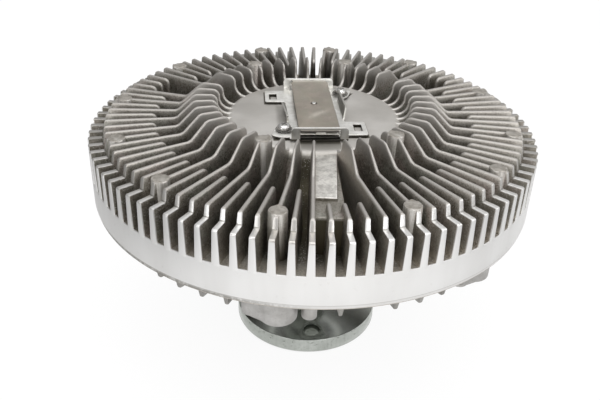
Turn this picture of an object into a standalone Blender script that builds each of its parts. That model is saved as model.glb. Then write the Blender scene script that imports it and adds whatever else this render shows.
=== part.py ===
# Viscous fan clutch: a finned housing that turns on a flanged shaft, with the fluid
# coupling, the ball bearing and the bimetal valve control inside it.
# The shaft stands on its mounting flange, and +Z is the turning axis.

from math import cos, pi, radians, sin

import bmesh
import bpy
from mathutils import Matrix, Vector

MM = 0.001

# Driving dimensions in millimetres. Heights are measured from the flange's mounting face.
OUTER_RADIUS = 140.0
LEDGE_HEIGHT = 149.2
GAP = 0.3
RUN_OUT = 1.5

# Front cover: 90 fins, counted from the one that is straight in front.
FIN_COUNT = 90
FIN_PITCH = 360.0 / FIN_COUNT
FIRST_FIN = -89.18
FIN_TIP = 2.4
FIN_DRAFT = 0.08
GROOVE_DEPTH = 20.0
STEP_RISE = 7.2
CROWN_RISE = 18.0
STEP_RADIUS = 131.0
SLOPE_FOOT = 86.7
SLOPE_HEAD = 75.2
CROWN_CORNER = 4.5
SHORT_CORNER = 3.4
CROWN_END = 60.5
FOOT_FILLET = 6.6
SHORT_END = 98.5
WINDOW_END = 112.0
WINDOW_STEP = 30
WINDOW_FINS = (1, 2, 3)
PLATE_RISE = 6.0
PLATE_RADIUS = 53.5
WALL = 4.0

# Cast posts on the front cover: fin numbers, radius of the place, radius and height.
OUTER_POSTS = [6.0, 14.0, 19.8, 28.0, 36.0, 43.6, 49.8, 58.0, 66.1, 73.2, 79.9, 88.0]
INNER_POSTS = [10.4, 40.5, 54.0, 84.1]
OUTER_POST = {"place": 124.0, "radius": 5.0, "rise": 8.0}
INNER_POST = {"place": 70.0, "radius": 4.9, "rise": 18.7}

# Oil return pads in the front window: start, end, far side's offset from the first fin's
# plane at the start and at the end, and height.
PAD_LOW = {"start": 46.0, "end": 120.5, "far": (13.2, 17.4), "rise": 2.5}
PAD_HIGH = {"start": 45.0, "end": 104.0, "far": (14.1, 12.8), "rise": 4.5}
PAD_NEAR = 0.6

# Rim that holds the rear housing.
BAND_FOOT = LEDGE_HEIGHT - 36.0
RIM_FOOT = LEDGE_HEIGHT - 41.5
RIM_BORE = 136.3
LIP_BORE = 133.5
LIP_TOP = 109.3
SHOULDER = 113.5
CHAMBER_RADIUS = 127.5
CHAMBER_TOP = 125.2
SHAFT_SIDES = 32
CHAMBER_SIDES = 30
BEARING_SIDES = 24

# Rear housing.
REAR_FACE = 108.2
REAR_INNER_FACE = 111.8
HUB_FOOT = 72.2
HUB_RADIUS = 38.4
REAR_FINS = 54
REAR_PITCH = 360.0 / REAR_FINS
REAR_FIRST = -128.6
REAR_FACETS = REAR_FIRST + REAR_PITCH / 2
REAR_FIN_FOOT = 97.2
REAR_FIN_END = 133.0
SECTORS = 6
BOSS_AZIMUTH = -97.0
BOSS_PLACE = 121.4
BOSS_RADIUS = 10.5
BOSS_FOOT = 89.2
BOSS_HOLE = 3.4
BOSS_HOLE_TOP = 103.0

# Flanged shaft and its bearing.
FLANGE_RADIUS = 49.7
FLANGE_THICK = 10.4
BOLT_CIRCLE = 38.5
BOLT_HOLE = 5.5
BOLT_COUNT = 4
BOLT_AZIMUTH = -82.8
NECK_RADIUS = 15.0
SEAT_FOOT = 76.0
SEAL_LAND = 14.0
ROTOR_SEAT = 11.0
ROTOR_SHOULDER = 104.8
SHAFT_TOP = 115.8
BEARING_WIDTH = 16.0
BEARING_RADIUS = 31.0
BALL_COUNT = 9
BALL_RADIUS = 4.4
BALL_PITCH = 23.15

# Valve and bimetal control, turned a little from the photograph's square view.
CONTROL_TURN = 5.8
DOME_RADIUS = 48.0
DOME_TOP = 151.2
VALVE_PLATE_RADIUS = 58.2
VALVE_PLATE_FOOT = 126.0
VALVE_PLATE_TOP = 127.6
VALVE_SCREW_PLACE = 53.0
ARM_PIVOT = -28.0
ARM_REACH = 32.0
ARM_THICK = 1.0
PIN_RADIUS = 1.5
PIN_TOP = 163.1
STRIP_SIZE = (24.3, 72.6, 1.2)
STRIP_TOP = 162.6
SHEET = 1.5
BRACKET_TOP = 163.7
BRACKET_SCREW = (20.3, 28.5)
STRIP_HOLE = 2.1


# Scene and mesh helpers


def clear_scene():
    for item in list(bpy.data.objects):
        bpy.data.objects.remove(item, do_unlink=True)


def paint(name, colour, roughness, metallic):
    material = bpy.data.materials.new(name)
    material.use_nodes = True
    shader = material.node_tree.nodes["Principled BSDF"]
    shader.inputs["Base Color"].default_value = (*colour, 1.0)
    shader.inputs["Roughness"].default_value = roughness
    shader.inputs["Metallic"].default_value = metallic
    return material


def make_object(name, bm, material=None, place=(0.0, 0.0, 0.0), parent=None):
    """One object from a bmesh drawn in millimetres, smooth where its faces meet softly."""
    bmesh.ops.remove_doubles(bm, verts=bm.verts, dist=0.0005)
    bmesh.ops.recalc_face_normals(bm, faces=bm.faces)
    bmesh.ops.scale(bm, vec=Vector((MM, MM, MM)), verts=bm.verts)
    mesh = bpy.data.meshes.new(name)
    bm.to_mesh(mesh)
    bm.free()
    item = bpy.data.objects.new(name, mesh)
    bpy.context.collection.objects.link(item)
    item.location = [value * MM for value in place]
    if material is not None:
        mesh.materials.append(material)
    if parent is not None:
        item.parent = parent
    return item


def smooth(item, angle=32.0):
    item.data.shade_smooth()
    item.data.set_sharp_from_angle(angle=radians(angle))
    return item


def combine(target, tool, operation):
    """Apply one exact Boolean and delete the tool."""
    tool.hide_render = True
    tool.display_type = 'WIRE'
    step = target.modifiers.new(operation.title(), 'BOOLEAN')
    step.operation = operation
    step.solver = 'EXACT'
    step.object = tool
    graph = bpy.context.evaluated_depsgraph_get()
    result = bpy.data.meshes.new_from_object(target.evaluated_get(graph))
    target.modifiers.clear()
    target.data = result
    bpy.data.objects.remove(tool, do_unlink=True)
    return target


def polar(radius, azimuth, height=0.0):
    angle = radians(azimuth)
    return Vector((radius * cos(angle), radius * sin(angle), height))


def arc(centre, radius, start, end, steps):
    """Outline points on an arc, in degrees from the outline's first axis."""
    points = []
    for i in range(steps + 1):
        angle = radians(start + (end - start) * i / steps)
        points.append((centre[0] + radius * cos(angle), centre[1] + radius * sin(angle)))
    return points


def turned(outline, sides, first=0.0):
    """Spin a closed outline of (radius, height) points round the turning axis."""
    bm = bmesh.new()
    verts = [bm.verts.new(polar(radius, first, height)) for radius, height in outline]
    edges = [bm.edges.new((verts[i - 1], verts[i])) for i in range(len(verts))]
    bmesh.ops.spin(bm, geom=verts + edges, cent=(0, 0, 0), axis=(0, 0, 1), angle=2 * pi,
                   steps=sides, use_merge=True)
    bmesh.ops.remove_doubles(bm, verts=bm.verts, dist=0.0005)
    bmesh.ops.dissolve_degenerate(bm, edges=bm.edges, dist=0.0005)
    loose = [edge for edge in bm.edges if not edge.link_faces]
    bmesh.ops.delete(bm, geom=loose, context='EDGES')
    return bm


def extruded(outline, low, high, bm=None):
    """Stand a flat outline of (x, y) points up between two heights."""
    if bm is None:
        bm = bmesh.new()
    face = bm.faces.new([bm.verts.new((x, y, low)) for x, y in outline])
    grown = bmesh.ops.extrude_face_region(bm, geom=[face])
    moved = [part for part in grown["geom"] if isinstance(part, bmesh.types.BMVert)]
    bmesh.ops.translate(bm, vec=(0, 0, high - low), verts=moved)
    return bm


def cylinder(bm, centre, radius, low, high, sides, top_radius=None):
    """Add one round post or hole tool, standing on the height low."""
    place = Matrix.Translation((centre[0], centre[1], (low + high) / 2))
    bmesh.ops.create_cone(bm, cap_ends=True, segments=sides, radius1=radius,
                          radius2=top_radius or radius, depth=high - low, matrix=place)
    return bm


def fin(bm, outline, azimuth, thickness):
    """Add one radial fin: an outline of (radius, height) points, thicker at its root."""
    turn = Matrix.Rotation(radians(azimuth), 4, 'Z')
    sides = []
    for hand in (-0.5, 0.5):
        place = [turn @ Vector((r, hand * thickness(z), z)) for r, z in outline]
        sides.append([bm.verts.new(point) for point in place])
    left, right = sides
    bm.faces.new(left)
    bm.faces.new(list(reversed(right)))
    for i in range(len(outline)):
        bm.faces.new((left[i - 1], right[i - 1], right[i], left[i]))


# Front cover


def front_fin_thickness(height):
    return FIN_TIP - FIN_DRAFT * (height - LEDGE_HEIGHT - STEP_RISE)


def long_fin_outline():
    """Groove floor, outer face, step, slope, crown and the curved fall to the hub plate."""
    root = LEDGE_HEIGHT - GROOVE_DEPTH - RUN_OUT
    crown = LEDGE_HEIGHT + CROWN_RISE
    plate = LEDGE_HEIGHT + PLATE_RISE
    step = LEDGE_HEIGHT + STEP_RISE
    outline = [(OUTER_RADIUS + RUN_OUT, root), (OUTER_RADIUS + RUN_OUT, step)]
    outline += [(SLOPE_FOOT, step), (SLOPE_HEAD, crown - 0.2)]
    outline += arc((CROWN_END + CROWN_CORNER, crown - CROWN_CORNER), CROWN_CORNER, 90, 180, 3)
    foot_centre = (CROWN_END - 0.1 - FOOT_FILLET, plate + FOOT_FILLET + 0.1)
    outline += arc(foot_centre, FOOT_FILLET, 0, -84, 3)
    outline += [(PLATE_RADIUS - 2.5, plate - 1.0), (PLATE_RADIUS - 2.5, root)]
    return outline


def short_fin_outline(end):
    root = LEDGE_HEIGHT - GROOVE_DEPTH - RUN_OUT
    step = LEDGE_HEIGHT + STEP_RISE
    outline = [(OUTER_RADIUS + RUN_OUT, root), (OUTER_RADIUS + RUN_OUT, step)]
    outline += arc((end + SHORT_CORNER, step - SHORT_CORNER), SHORT_CORNER, 90, 180, 3)
    outline += [(end - 1.0, root)]
    return outline


def front_fins():
    bm = bmesh.new()
    for k in range(FIN_COUNT):
        azimuth = FIRST_FIN + FIN_PITCH * k
        if k % WINDOW_STEP in WINDOW_FINS:
            outline = short_fin_outline(WINDOW_END)
        elif k % 2 == 0:
            outline = long_fin_outline()
        else:
            outline = short_fin_outline(SHORT_END)
        fin(bm, outline, azimuth, front_fin_thickness)
    return make_object("front_fin_tool", bm)


def cover_blank():
    """The casting before its fins: domed hub plate, flank, groove floor and plain rim."""
    floor = LEDGE_HEIGHT - GROOVE_DEPTH
    plate = LEDGE_HEIGHT + PLATE_RISE
    outline = [(0.0, RIM_FOOT), (OUTER_RADIUS + RUN_OUT, RIM_FOOT),
               (OUTER_RADIUS + RUN_OUT, floor), (PLATE_RADIUS + 10.0, floor),
               (PLATE_RADIUS + 6.0, floor + 4.5), (PLATE_RADIUS, plate - 1.0),
               (PLATE_RADIUS - 1.0, plate), (0.0, plate)]
    return make_object("front_cover", turned(outline, FIN_COUNT, FIRST_FIN + FIN_PITCH / 2))


def rim_turning_tool():
    """What the lathe takes off: outside diameter, outer ledge of the fins and rolled rim edge."""
    far = OUTER_RADIUS + 12.0
    top = LEDGE_HEIGHT + 12.0
    brow = LEDGE_HEIGHT + STEP_RISE
    outline = [(STEP_RADIUS, LEDGE_HEIGHT), (OUTER_RADIUS, LEDGE_HEIGHT), (OUTER_RADIUS, BAND_FOOT),
               (OUTER_RADIUS - 0.5, BAND_FOOT - 0.6), (OUTER_RADIUS - 0.5, RIM_FOOT + 1.6),
               (OUTER_RADIUS - 2.9, RIM_FOOT - 1.0),
               (far, RIM_FOOT - 1.0), (far, top), (STEP_RADIUS - 2.6, top),
               (STEP_RADIUS - 2.6, brow), (STEP_RADIUS - 1.1, brow - 1.4)]
    return make_object("turning_tool", turned(outline, FIN_COUNT, FIRST_FIN + FIN_PITCH / 2))


def post_tool(numbers, shape, sides):
    bm = bmesh.new()
    root = LEDGE_HEIGHT - GROOVE_DEPTH - RUN_OUT
    for number in numbers:
        centre = polar(shape["place"], FIRST_FIN + FIN_PITCH * number)
        cylinder(bm, centre, shape["radius"] + 0.5, root, LEDGE_HEIGHT + shape["rise"], sides,
                 shape["radius"])
    return make_object("post_tool", bm)


def pad_tool(shape):
    """Bar beside the first fin of the front window, which carries the oil return drillings."""
    root = LEDGE_HEIGHT - GROOVE_DEPTH - RUN_OUT
    top = LEDGE_HEIGHT + shape["rise"]
    start, end = shape["start"], shape["end"]
    far_start, far_end = shape["far"]
    bm = bmesh.new()
    low = [(start, PAD_NEAR), (end + 0.7, PAD_NEAR), (end + 0.7, far_end + 0.7),
           (start, far_start + 0.7)]
    high = [(start, PAD_NEAR), (end, PAD_NEAR), (end, far_end), (start, far_start)]
    foot = [bm.verts.new((x, y, root)) for x, y in low]
    roof = [bm.verts.new((x, y, top)) for x, y in high]
    bm.faces.new(foot)
    bm.faces.new(roof)
    for i in range(4):
        bm.faces.new((foot[i - 1], foot[i], roof[i], roof[i - 1]))
    bmesh.ops.rotate(bm, verts=bm.verts, cent=(0, 0, 0),
                     matrix=Matrix.Rotation(radians(FIRST_FIN), 3, 'Z'))
    return make_object("pad_tool", bm)


def seat_tool():
    """The rear housing's seat behind the rolled lip."""
    outline = [(0.0, RIM_FOOT - 1.0), (LIP_BORE, RIM_FOOT - 1.0), (LIP_BORE, LIP_TOP),
               (RIM_BORE, LIP_TOP), (RIM_BORE, SHOULDER), (0.0, SHOULDER)]
    return make_object("seat_tool", turned(outline, REAR_FINS, REAR_FACETS))


def chamber_tool():
    """The hollow of the cover: working chamber with its ribs, valve plate seat and dome."""
    rib_foot = CHAMBER_TOP - 3.2
    ledge = VALVE_PLATE_TOP + GAP
    outline = [(0.0, SHOULDER - 1.0), (CHAMBER_RADIUS, SHOULDER - 1.0), (CHAMBER_RADIUS, CHAMBER_TOP)]
    for rib in (108.0, 96.0):
        outline += [(rib, CHAMBER_TOP), (rib, rib_foot), (rib - 3.0, rib_foot), (rib - 3.0, CHAMBER_TOP)]
    outline += [(VALVE_PLATE_RADIUS + GAP, CHAMBER_TOP), (VALVE_PLATE_RADIUS + GAP, ledge),
                (DOME_RADIUS, ledge), (DOME_RADIUS, DOME_TOP), (7.5, DOME_TOP), (7.0, 143.0),
                (0.0, 143.0)]
    return make_object("chamber_tool", turned(outline, CHAMBER_SIDES))


def pin_bore_tool():
    bore = PIN_RADIUS + GAP
    outline = [(0.0, 141.0), (bore, 141.0), (bore, 146.5), (3.4, 146.5), (3.4, 148.9),
               (bore, 148.9), (bore, 158.0), (0.0, 158.0)]
    return make_object("pin_bore_tool", turned(outline, 16))


def control_points():
    """World places of the two bracket screws."""
    turn = Matrix.Rotation(radians(CONTROL_TURN), 3, 'Z')
    x, y = BRACKET_SCREW
    return [turn @ Vector((-x, -y, 0)), turn @ Vector((x, y, 0))]


def valve_screw_points():
    return [polar(VALVE_SCREW_PLACE, CONTROL_TURN + 45 + 90 * i) for i in range(4)]


def front_cover(material):
    cover = cover_blank()
    combine(cover, front_fins(), 'UNION')
    combine(cover, pad_tool(PAD_LOW), 'UNION')
    combine(cover, pad_tool(PAD_HIGH), 'UNION')
    combine(cover, rim_turning_tool(), 'DIFFERENCE')
    combine(cover, post_tool(OUTER_POSTS, OUTER_POST, 12), 'UNION')
    combine(cover, post_tool(INNER_POSTS, INNER_POST, 12), 'UNION')
    combine(cover, seat_tool(), 'DIFFERENCE')
    combine(cover, chamber_tool(), 'DIFFERENCE')
    bosses = bmesh.new()
    for point in control_points():
        cylinder(bosses, point, 4.6, 145.5, 153.0, 12)
    combine(cover, make_object("screw_bosses", bosses), 'UNION')
    combine(cover, pin_bore_tool(), 'DIFFERENCE')
    holes = bmesh.new()
    for point in control_points():
        cylinder(holes, point, 2.1, 147.2, 158.0, 10)
    for point in valve_screw_points():
        cylinder(holes, point, 2.1, 124.5, 135.0, 10)
    combine(cover, make_object("screw_holes", holes), 'DIFFERENCE')
    cover.data.materials.clear()
    cover.data.materials.append(material)
    return smooth(cover)


# Rear housing


def rear_blank():
    """Plate with the bearing hub below it and a rim, grooved for its seal ring, above it."""
    outline = [(0.0, HUB_FOOT), (HUB_RADIUS - 1.6, HUB_FOOT), (HUB_RADIUS, HUB_FOOT + 1.6),
               (HUB_RADIUS + 2.0, REAR_FACE), (131.5, REAR_FACE), (LIP_BORE - 0.5, LIP_TOP + GAP),
               (RIM_BORE - GAP, LIP_TOP + GAP),
               (RIM_BORE - GAP, SHOULDER - GAP), (134.0, SHOULDER - GAP), (134.0, 111.2),
               (130.9, 111.2), (130.9, SHOULDER - GAP), (127.2, SHOULDER - GAP),
               (126.6, REAR_INNER_FACE), (0.0, REAR_INNER_FACE)]
    return make_object("rear_housing", turned(outline, REAR_FINS, REAR_FACETS))


def bearing_bore_tool():
    """Bearing seat with its circlip groove, the shaft seal's seat and the hole to the chamber."""
    bore = BEARING_RADIUS + GAP
    outline = [(0.0, HUB_FOOT - 2.0), (bore, HUB_FOOT - 2.0), (bore, 74.2), (33.4, 74.2),
               (33.4, SEAT_FOOT), (bore, SEAT_FOOT), (bore, 92.6), (22.3, 92.6), (22.3, 104.8),
               (26.0, 104.8), (26.0, 115.0), (0.0, 115.0)]
    return make_object("bore_tool", turned(outline, BEARING_SIDES))


def rear_fin_thickness(height):
    return 2.4 + 0.16 * (height - REAR_FIN_FOOT)


def rear_fins():
    """Five full fins in each sixth, a shorter one, and three that stop at the fan boss."""
    bm = bmesh.new()
    inside = REAR_FACE + RUN_OUT
    per_sector = REAR_FINS // SECTORS
    for number in range(REAR_FINS):
        place = number % per_sector
        end = REAR_FIN_END
        if place == 8:
            end = 116.0
        elif place in (4, 5, 6):
            end = 108.0
        outline = [(end, inside), (end - 1.4, REAR_FIN_FOOT), (76.0, REAR_FIN_FOOT - 5.0),
                   (52.0, REAR_FIN_FOOT - 14.0), (36.0, REAR_FIN_FOOT - 14.6), (36.0, inside)]
        fin(bm, outline, REAR_FIRST + REAR_PITCH * number, rear_fin_thickness)
    return make_object("rear_fin_tool", bm)


def boss_azimuths():
    return [BOSS_AZIMUTH + 360.0 / SECTORS * i for i in range(SECTORS)]


def fan_boss_tool():
    bm = bmesh.new()
    for azimuth in boss_azimuths():
        centre = polar(BOSS_PLACE, azimuth)
        cylinder(bm, centre, BOSS_RADIUS, BOSS_FOOT, REAR_FACE + RUN_OUT, 14)
    return make_object("fan_boss_tool", bm)


def fan_pad_tool():
    """The lobe beside each fan boss, with rounded corners."""
    bm = bmesh.new()
    corner = 5.0
    inner, outer, side = 105.0, 126.4, -20.0
    for azimuth in boss_azimuths():
        outline = [(inner, 0.0), (inner, side)]
        outline += arc((outer - corner, side + corner), corner, -90, 0, 3)
        outline += [(outer, 0.0)]
        first = len(bm.verts)
        extruded(outline, BOSS_FOOT + 1.0, REAR_FACE + RUN_OUT, bm)
        bm.verts.ensure_lookup_table()
        bmesh.ops.rotate(bm, verts=bm.verts[first:], cent=(0, 0, 0),
                         matrix=Matrix.Rotation(radians(azimuth), 3, 'Z'))
    return make_object("fan_pad_tool", bm)


def ejector_column_tool():
    bm = bmesh.new()
    for azimuth in boss_azimuths():
        centre = polar(BOSS_PLACE + 1.0, azimuth + 8.0)
        cylinder(bm, centre, 4.2, BOSS_FOOT + 1.6, REAR_FACE + RUN_OUT, 8)
    return make_object("column_tool", bm)


def rear_housing(material):
    housing = rear_blank()
    combine(housing, rear_fins(), 'UNION')
    combine(housing, fan_boss_tool(), 'UNION')
    combine(housing, fan_pad_tool(), 'UNION')
    combine(housing, ejector_column_tool(), 'UNION')
    combine(housing, bearing_bore_tool(), 'DIFFERENCE')
    holes = bmesh.new()
    for azimuth in boss_azimuths():
        cylinder(holes, polar(BOSS_PLACE, azimuth), BOSS_HOLE, BOSS_FOOT - 2.0, BOSS_HOLE_TOP, 8)
    combine(housing, make_object("fan_screw_holes", holes), 'DIFFERENCE')
    housing.data.materials.clear()
    housing.data.materials.append(material)
    return smooth(housing)


# Shaft, bearing and seals


def flange_shaft(material):
    """One forging: mounting flange with its pilot recess, neck, bearing seat and rotor seat."""
    outline = [(0.0, 3.0), (17.5, 3.0), (17.5, 0.0), (FLANGE_RADIUS - 0.8, 0.0),
               (FLANGE_RADIUS, 0.8), (FLANGE_RADIUS, FLANGE_THICK - 0.8),
               (FLANGE_RADIUS - 0.8, FLANGE_THICK)]
    outline += arc((NECK_RADIUS + 4.0, FLANGE_THICK + 4.0), 4.0, -90, -180, 2)
    outline += [(NECK_RADIUS, 69.5), (18.5, 71.5), (18.5, SEAT_FOOT), (NECK_RADIUS, SEAT_FOOT),
                (NECK_RADIUS, 93.0), (SEAL_LAND, 94.0), (SEAL_LAND, ROTOR_SHOULDER),
                (ROTOR_SEAT, ROTOR_SHOULDER), (ROTOR_SEAT, SHAFT_TOP), (3.6, SHAFT_TOP),
                (3.6, 98.0), (0.0, 96.0)]
    shaft = make_object("flange_shaft", turned(outline, SHAFT_SIDES))
    holes = bmesh.new()
    for i in range(BOLT_COUNT):
        centre = polar(BOLT_CIRCLE, BOLT_AZIMUTH + 360.0 / BOLT_COUNT * i)
        cylinder(holes, centre, BOLT_HOLE, -2.0, FLANGE_THICK + 2.0, 12)
    combine(shaft, make_object("bolt_holes", holes), 'DIFFERENCE')
    shaft.data.materials.clear()
    shaft.data.materials.append(material)
    return smooth(shaft)


def bearing_foot():
    return SEAT_FOOT + GAP


def raceway(steps):
    """Groove points beside the balls' middle height, as (offset, height) from the ball pitch."""
    middle = bearing_foot() + BEARING_WIDTH / 2
    radius = BALL_RADIUS + 0.9
    return [(radius * cos(angle), middle + radius * sin(angle))
            for angle in [radians(-48 + 96 * i / steps) for i in range(steps + 1)]]


def inner_race(material):
    foot = bearing_foot()
    top = foot + BEARING_WIDTH
    groove = [(BALL_PITCH - offset, height) for offset, height in raceway(2)]
    outline = [(NECK_RADIUS + GAP, foot), (20.0, foot)] + groove + [(20.0, top), (NECK_RADIUS + GAP, top)]
    return smooth(make_object("bearing_inner_race", turned(outline, BEARING_SIDES), material))


def outer_race(material):
    foot = bearing_foot()
    top = foot + BEARING_WIDTH
    groove = [(BALL_PITCH + offset, height) for offset, height in reversed(raceway(2))]
    outline = [(26.3, foot), (BEARING_RADIUS, foot), (BEARING_RADIUS, top), (26.3, top)] + groove
    return smooth(make_object("bearing_outer_race", turned(outline, BEARING_SIDES), material))


def bearing_cage(material):
    middle = bearing_foot() + BEARING_WIDTH / 2
    outline = [(21.5, middle - 5.7), (24.7, middle - 5.7), (24.7, middle + 5.7), (21.5, middle + 5.7)]
    cage = make_object("bearing_cage", turned(outline, 18), material)
    pockets = bmesh.new()
    for i in range(BALL_COUNT):
        turn = Matrix.Rotation(2 * pi * i / BALL_COUNT, 4, 'Z')
        place = turn @ Matrix.Translation((BALL_PITCH, 0, middle)) @ Matrix.Rotation(pi / 2, 4, 'Y')
        bmesh.ops.create_cone(pockets, cap_ends=True, segments=6, radius1=BALL_RADIUS + 1.0,
                              radius2=BALL_RADIUS + 1.0, depth=7.0, matrix=place)
    combine(cage, make_object("pocket_tool", pockets), 'DIFFERENCE')
    return smooth(cage)


def bearing_ball(number, material):
    middle = bearing_foot() + BEARING_WIDTH / 2
    bm = bmesh.new()
    bmesh.ops.create_uvsphere(bm, u_segments=7, v_segments=5, radius=BALL_RADIUS)
    centre = polar(BALL_PITCH, 360.0 * (number - 1) / BALL_COUNT, middle)
    bmesh.ops.translate(bm, vec=centre, verts=bm.verts)
    return smooth(make_object(f"bearing_ball_{number}", bm, material), 80)


def bearing_circlip(material):
    """Open ring in the hub's groove, with a lug at each end."""
    outline = arc((0, 0), 32.7, 12, 348, 26)
    outline += arc((0, 0), 24.5, 348, 337, 1)
    outline += arc((0, 0), 28.6, 336, 24, 22)
    outline += arc((0, 0), 24.5, 23, 12, 1)
    return make_object("bearing_circlip", extruded(outline, 74.5, 75.7), material)


def shaft_seal(material):
    outline = [(14.5, 97.0), (17.0, 93.4), (22.0, 93.4), (22.0, 101.5), (20.5, 102.5),
               (19.5, 96.5), (17.5, 96.5), (15.6, 99.6)]
    return smooth(make_object("shaft_seal", turned(outline, 24), material))


def ring_seal(name, centre_radius, height, section, sides, material):
    outline = arc((centre_radius, height), section, 0, 288, 4)
    return smooth(make_object(name, turned(outline, sides), material), 75)


# Fluid coupling


def drive_rotor(material):
    """Disc on the shaft whose ridges run between the cover's ribs."""
    low = REAR_INNER_FACE + 1.4
    land = 121.0
    ridge = CHAMBER_TOP - 1.0
    outline = [(ROTOR_SEAT + GAP, ROTOR_SHOULDER + GAP), (20.0, ROTOR_SHOULDER + GAP), (20.0, low),
               (121.0, low), (122.0, low + 1.0), (122.0, land)]
    for foot in (116.0, 104.0, 92.0):
        outline += [(foot, land), (foot, ridge), (foot - 7.0, ridge), (foot - 7.0, land)]
    outline = outline[:-1] + [(79.0, 116.5), (ROTOR_SEAT + GAP, 116.5)]
    rotor = make_object("drive_rotor", turned(outline, CHAMBER_SIDES))
    holes = bmesh.new()
    for i in range(3):
        cylinder(holes, polar(62.0, 120.0 * i + 30.0), 4.0, low - 2.0, 120.0, 8)
    combine(rotor, make_object("rotor_holes", holes), 'DIFFERENCE')
    rotor.data.materials.append(material)
    return smooth(rotor)


def rotor_washer(material):
    outline = [(4.3, 116.8), (11.0, 116.8), (11.0, 118.3), (4.3, 118.3)]
    return smooth(make_object("rotor_washer", turned(outline, 18), material))


def rotor_screw(material):
    """Low socket head screw in the end of the shaft."""
    outline = [(0.0, 99.0), (3.2, 99.0), (3.2, 118.6), (7.0, 118.6), (7.0, 122.8), (6.3, 123.5),
               (0.0, 123.5)]
    screw = make_object("rotor_screw", turned(outline, 18), material)
    socket = bmesh.new()
    cylinder(socket, (0, 0), 3.4, 120.5, 126.0, 6)
    return smooth(combine(screw, make_object("socket_tool", socket), 'DIFFERENCE'))


# Valve inside the dome


def valve_plate(material):
    """Steel disc between the oil store and the chamber, with the feed hole under the arm."""
    outline = [(0.0, VALVE_PLATE_FOOT), (VALVE_PLATE_RADIUS, VALVE_PLATE_FOOT),
               (VALVE_PLATE_RADIUS, VALVE_PLATE_TOP), (0.0, VALVE_PLATE_TOP)]
    plate = make_object("valve_plate", turned(outline, CHAMBER_SIDES), material)
    holes = bmesh.new()
    low = VALVE_PLATE_FOOT - 2.0
    high = VALVE_PLATE_TOP + 2.0
    for point in valve_screw_points():
        cylinder(holes, point, 2.1, low, high, 10)
    cylinder(holes, polar(ARM_REACH, CONTROL_TURN), 3.5, low, high, 12)
    cylinder(holes, polar(-ARM_PIVOT, CONTROL_TURN + 180), PIN_RADIUS + GAP, low, high, 10)
    return smooth(combine(plate, make_object("plate_holes", holes), 'DIFFERENCE'))


def valve_screw(number, material):
    point = valve_screw_points()[number - 1]
    outline = [(0.0, 123.3), (2.6, 123.3), (3.5, 124.3), (3.5, VALVE_PLATE_FOOT - GAP),
               (1.8, VALVE_PLATE_FOOT - GAP), (1.8, 133.5), (0.0, 134.2)]
    return smooth(make_object(f"valve_screw_{number}", turned(outline, 12), material,
                              place=(point.x, point.y, 0)))


def valve_arm(material, frame):
    """Leaf that covers the feed hole. Its origin is where it bends beside the rivet."""
    half = 6.0
    waist = 4.0
    reach = ARM_REACH - ARM_PIVOT
    outline = arc((0, 0), half - 1.0, 100, 260, 6)
    outline += [(12.0, -waist), (reach - 12.0, -waist)]
    outline += arc((reach, 0), half, -100, 100, 6)
    outline += [(reach - 12.0, waist), (12.0, waist)]
    bm = extruded(outline, -ARM_THICK / 2, ARM_THICK / 2)
    height = VALVE_PLATE_TOP + GAP + ARM_THICK / 2
    arm = make_object("valve_arm", bm, material, place=(ARM_PIVOT, 0, height), parent=frame)
    hole = bmesh.new()
    cylinder(hole, (0, 0), 1.9, -2.0, 2.0, 10)
    tool = make_object("rivet_hole", hole, place=(ARM_PIVOT, 0, height), parent=frame)
    bpy.context.view_layer.update()
    return combine(arm, tool, 'DIFFERENCE')


def valve_rivet(material, frame):
    top = VALVE_PLATE_TOP + GAP + ARM_THICK + GAP
    foot = VALVE_PLATE_FOOT - GAP
    outline = [(0.0, foot - 1.0), (2.8, foot - 1.0), (2.8, foot), (PIN_RADIUS, foot),
               (PIN_RADIUS, top), (3.0, top), (2.4, top + 1.0), (0.0, top + 1.2)]
    return smooth(make_object("valve_rivet", turned(outline, 12), material,
                              place=(ARM_PIVOT, 0, 0), parent=frame))


def control_pin(material):
    """Rod from the leaf up to the bimetal strip, which it meets in the strip's middle."""
    foot = VALVE_PLATE_TOP + GAP + ARM_THICK + GAP
    outline = [(0.0, foot), (2.2, foot), (2.6, foot + 0.5), (2.6, foot + 1.4),
               (PIN_RADIUS, foot + 1.8), (PIN_RADIUS, PIN_TOP - 0.5), (1.0, PIN_TOP), (0.0, PIN_TOP)]
    return smooth(make_object("control_pin", turned(outline, 14), material))


# Bimetal control on the hub plate


def strip_slot(hand):
    """Tool for the slot in one end wall, where the strip's tongue goes through."""
    thick = STRIP_SIZE[2]
    low = STRIP_TOP - thick - GAP
    y = hand * 40.0
    outline = [(-12.0, y - 4.0), (12.0, y - 4.0), (12.0, y + 4.0), (-12.0, y + 4.0)]
    return extruded(outline, low, STRIP_TOP + GAP)


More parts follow.
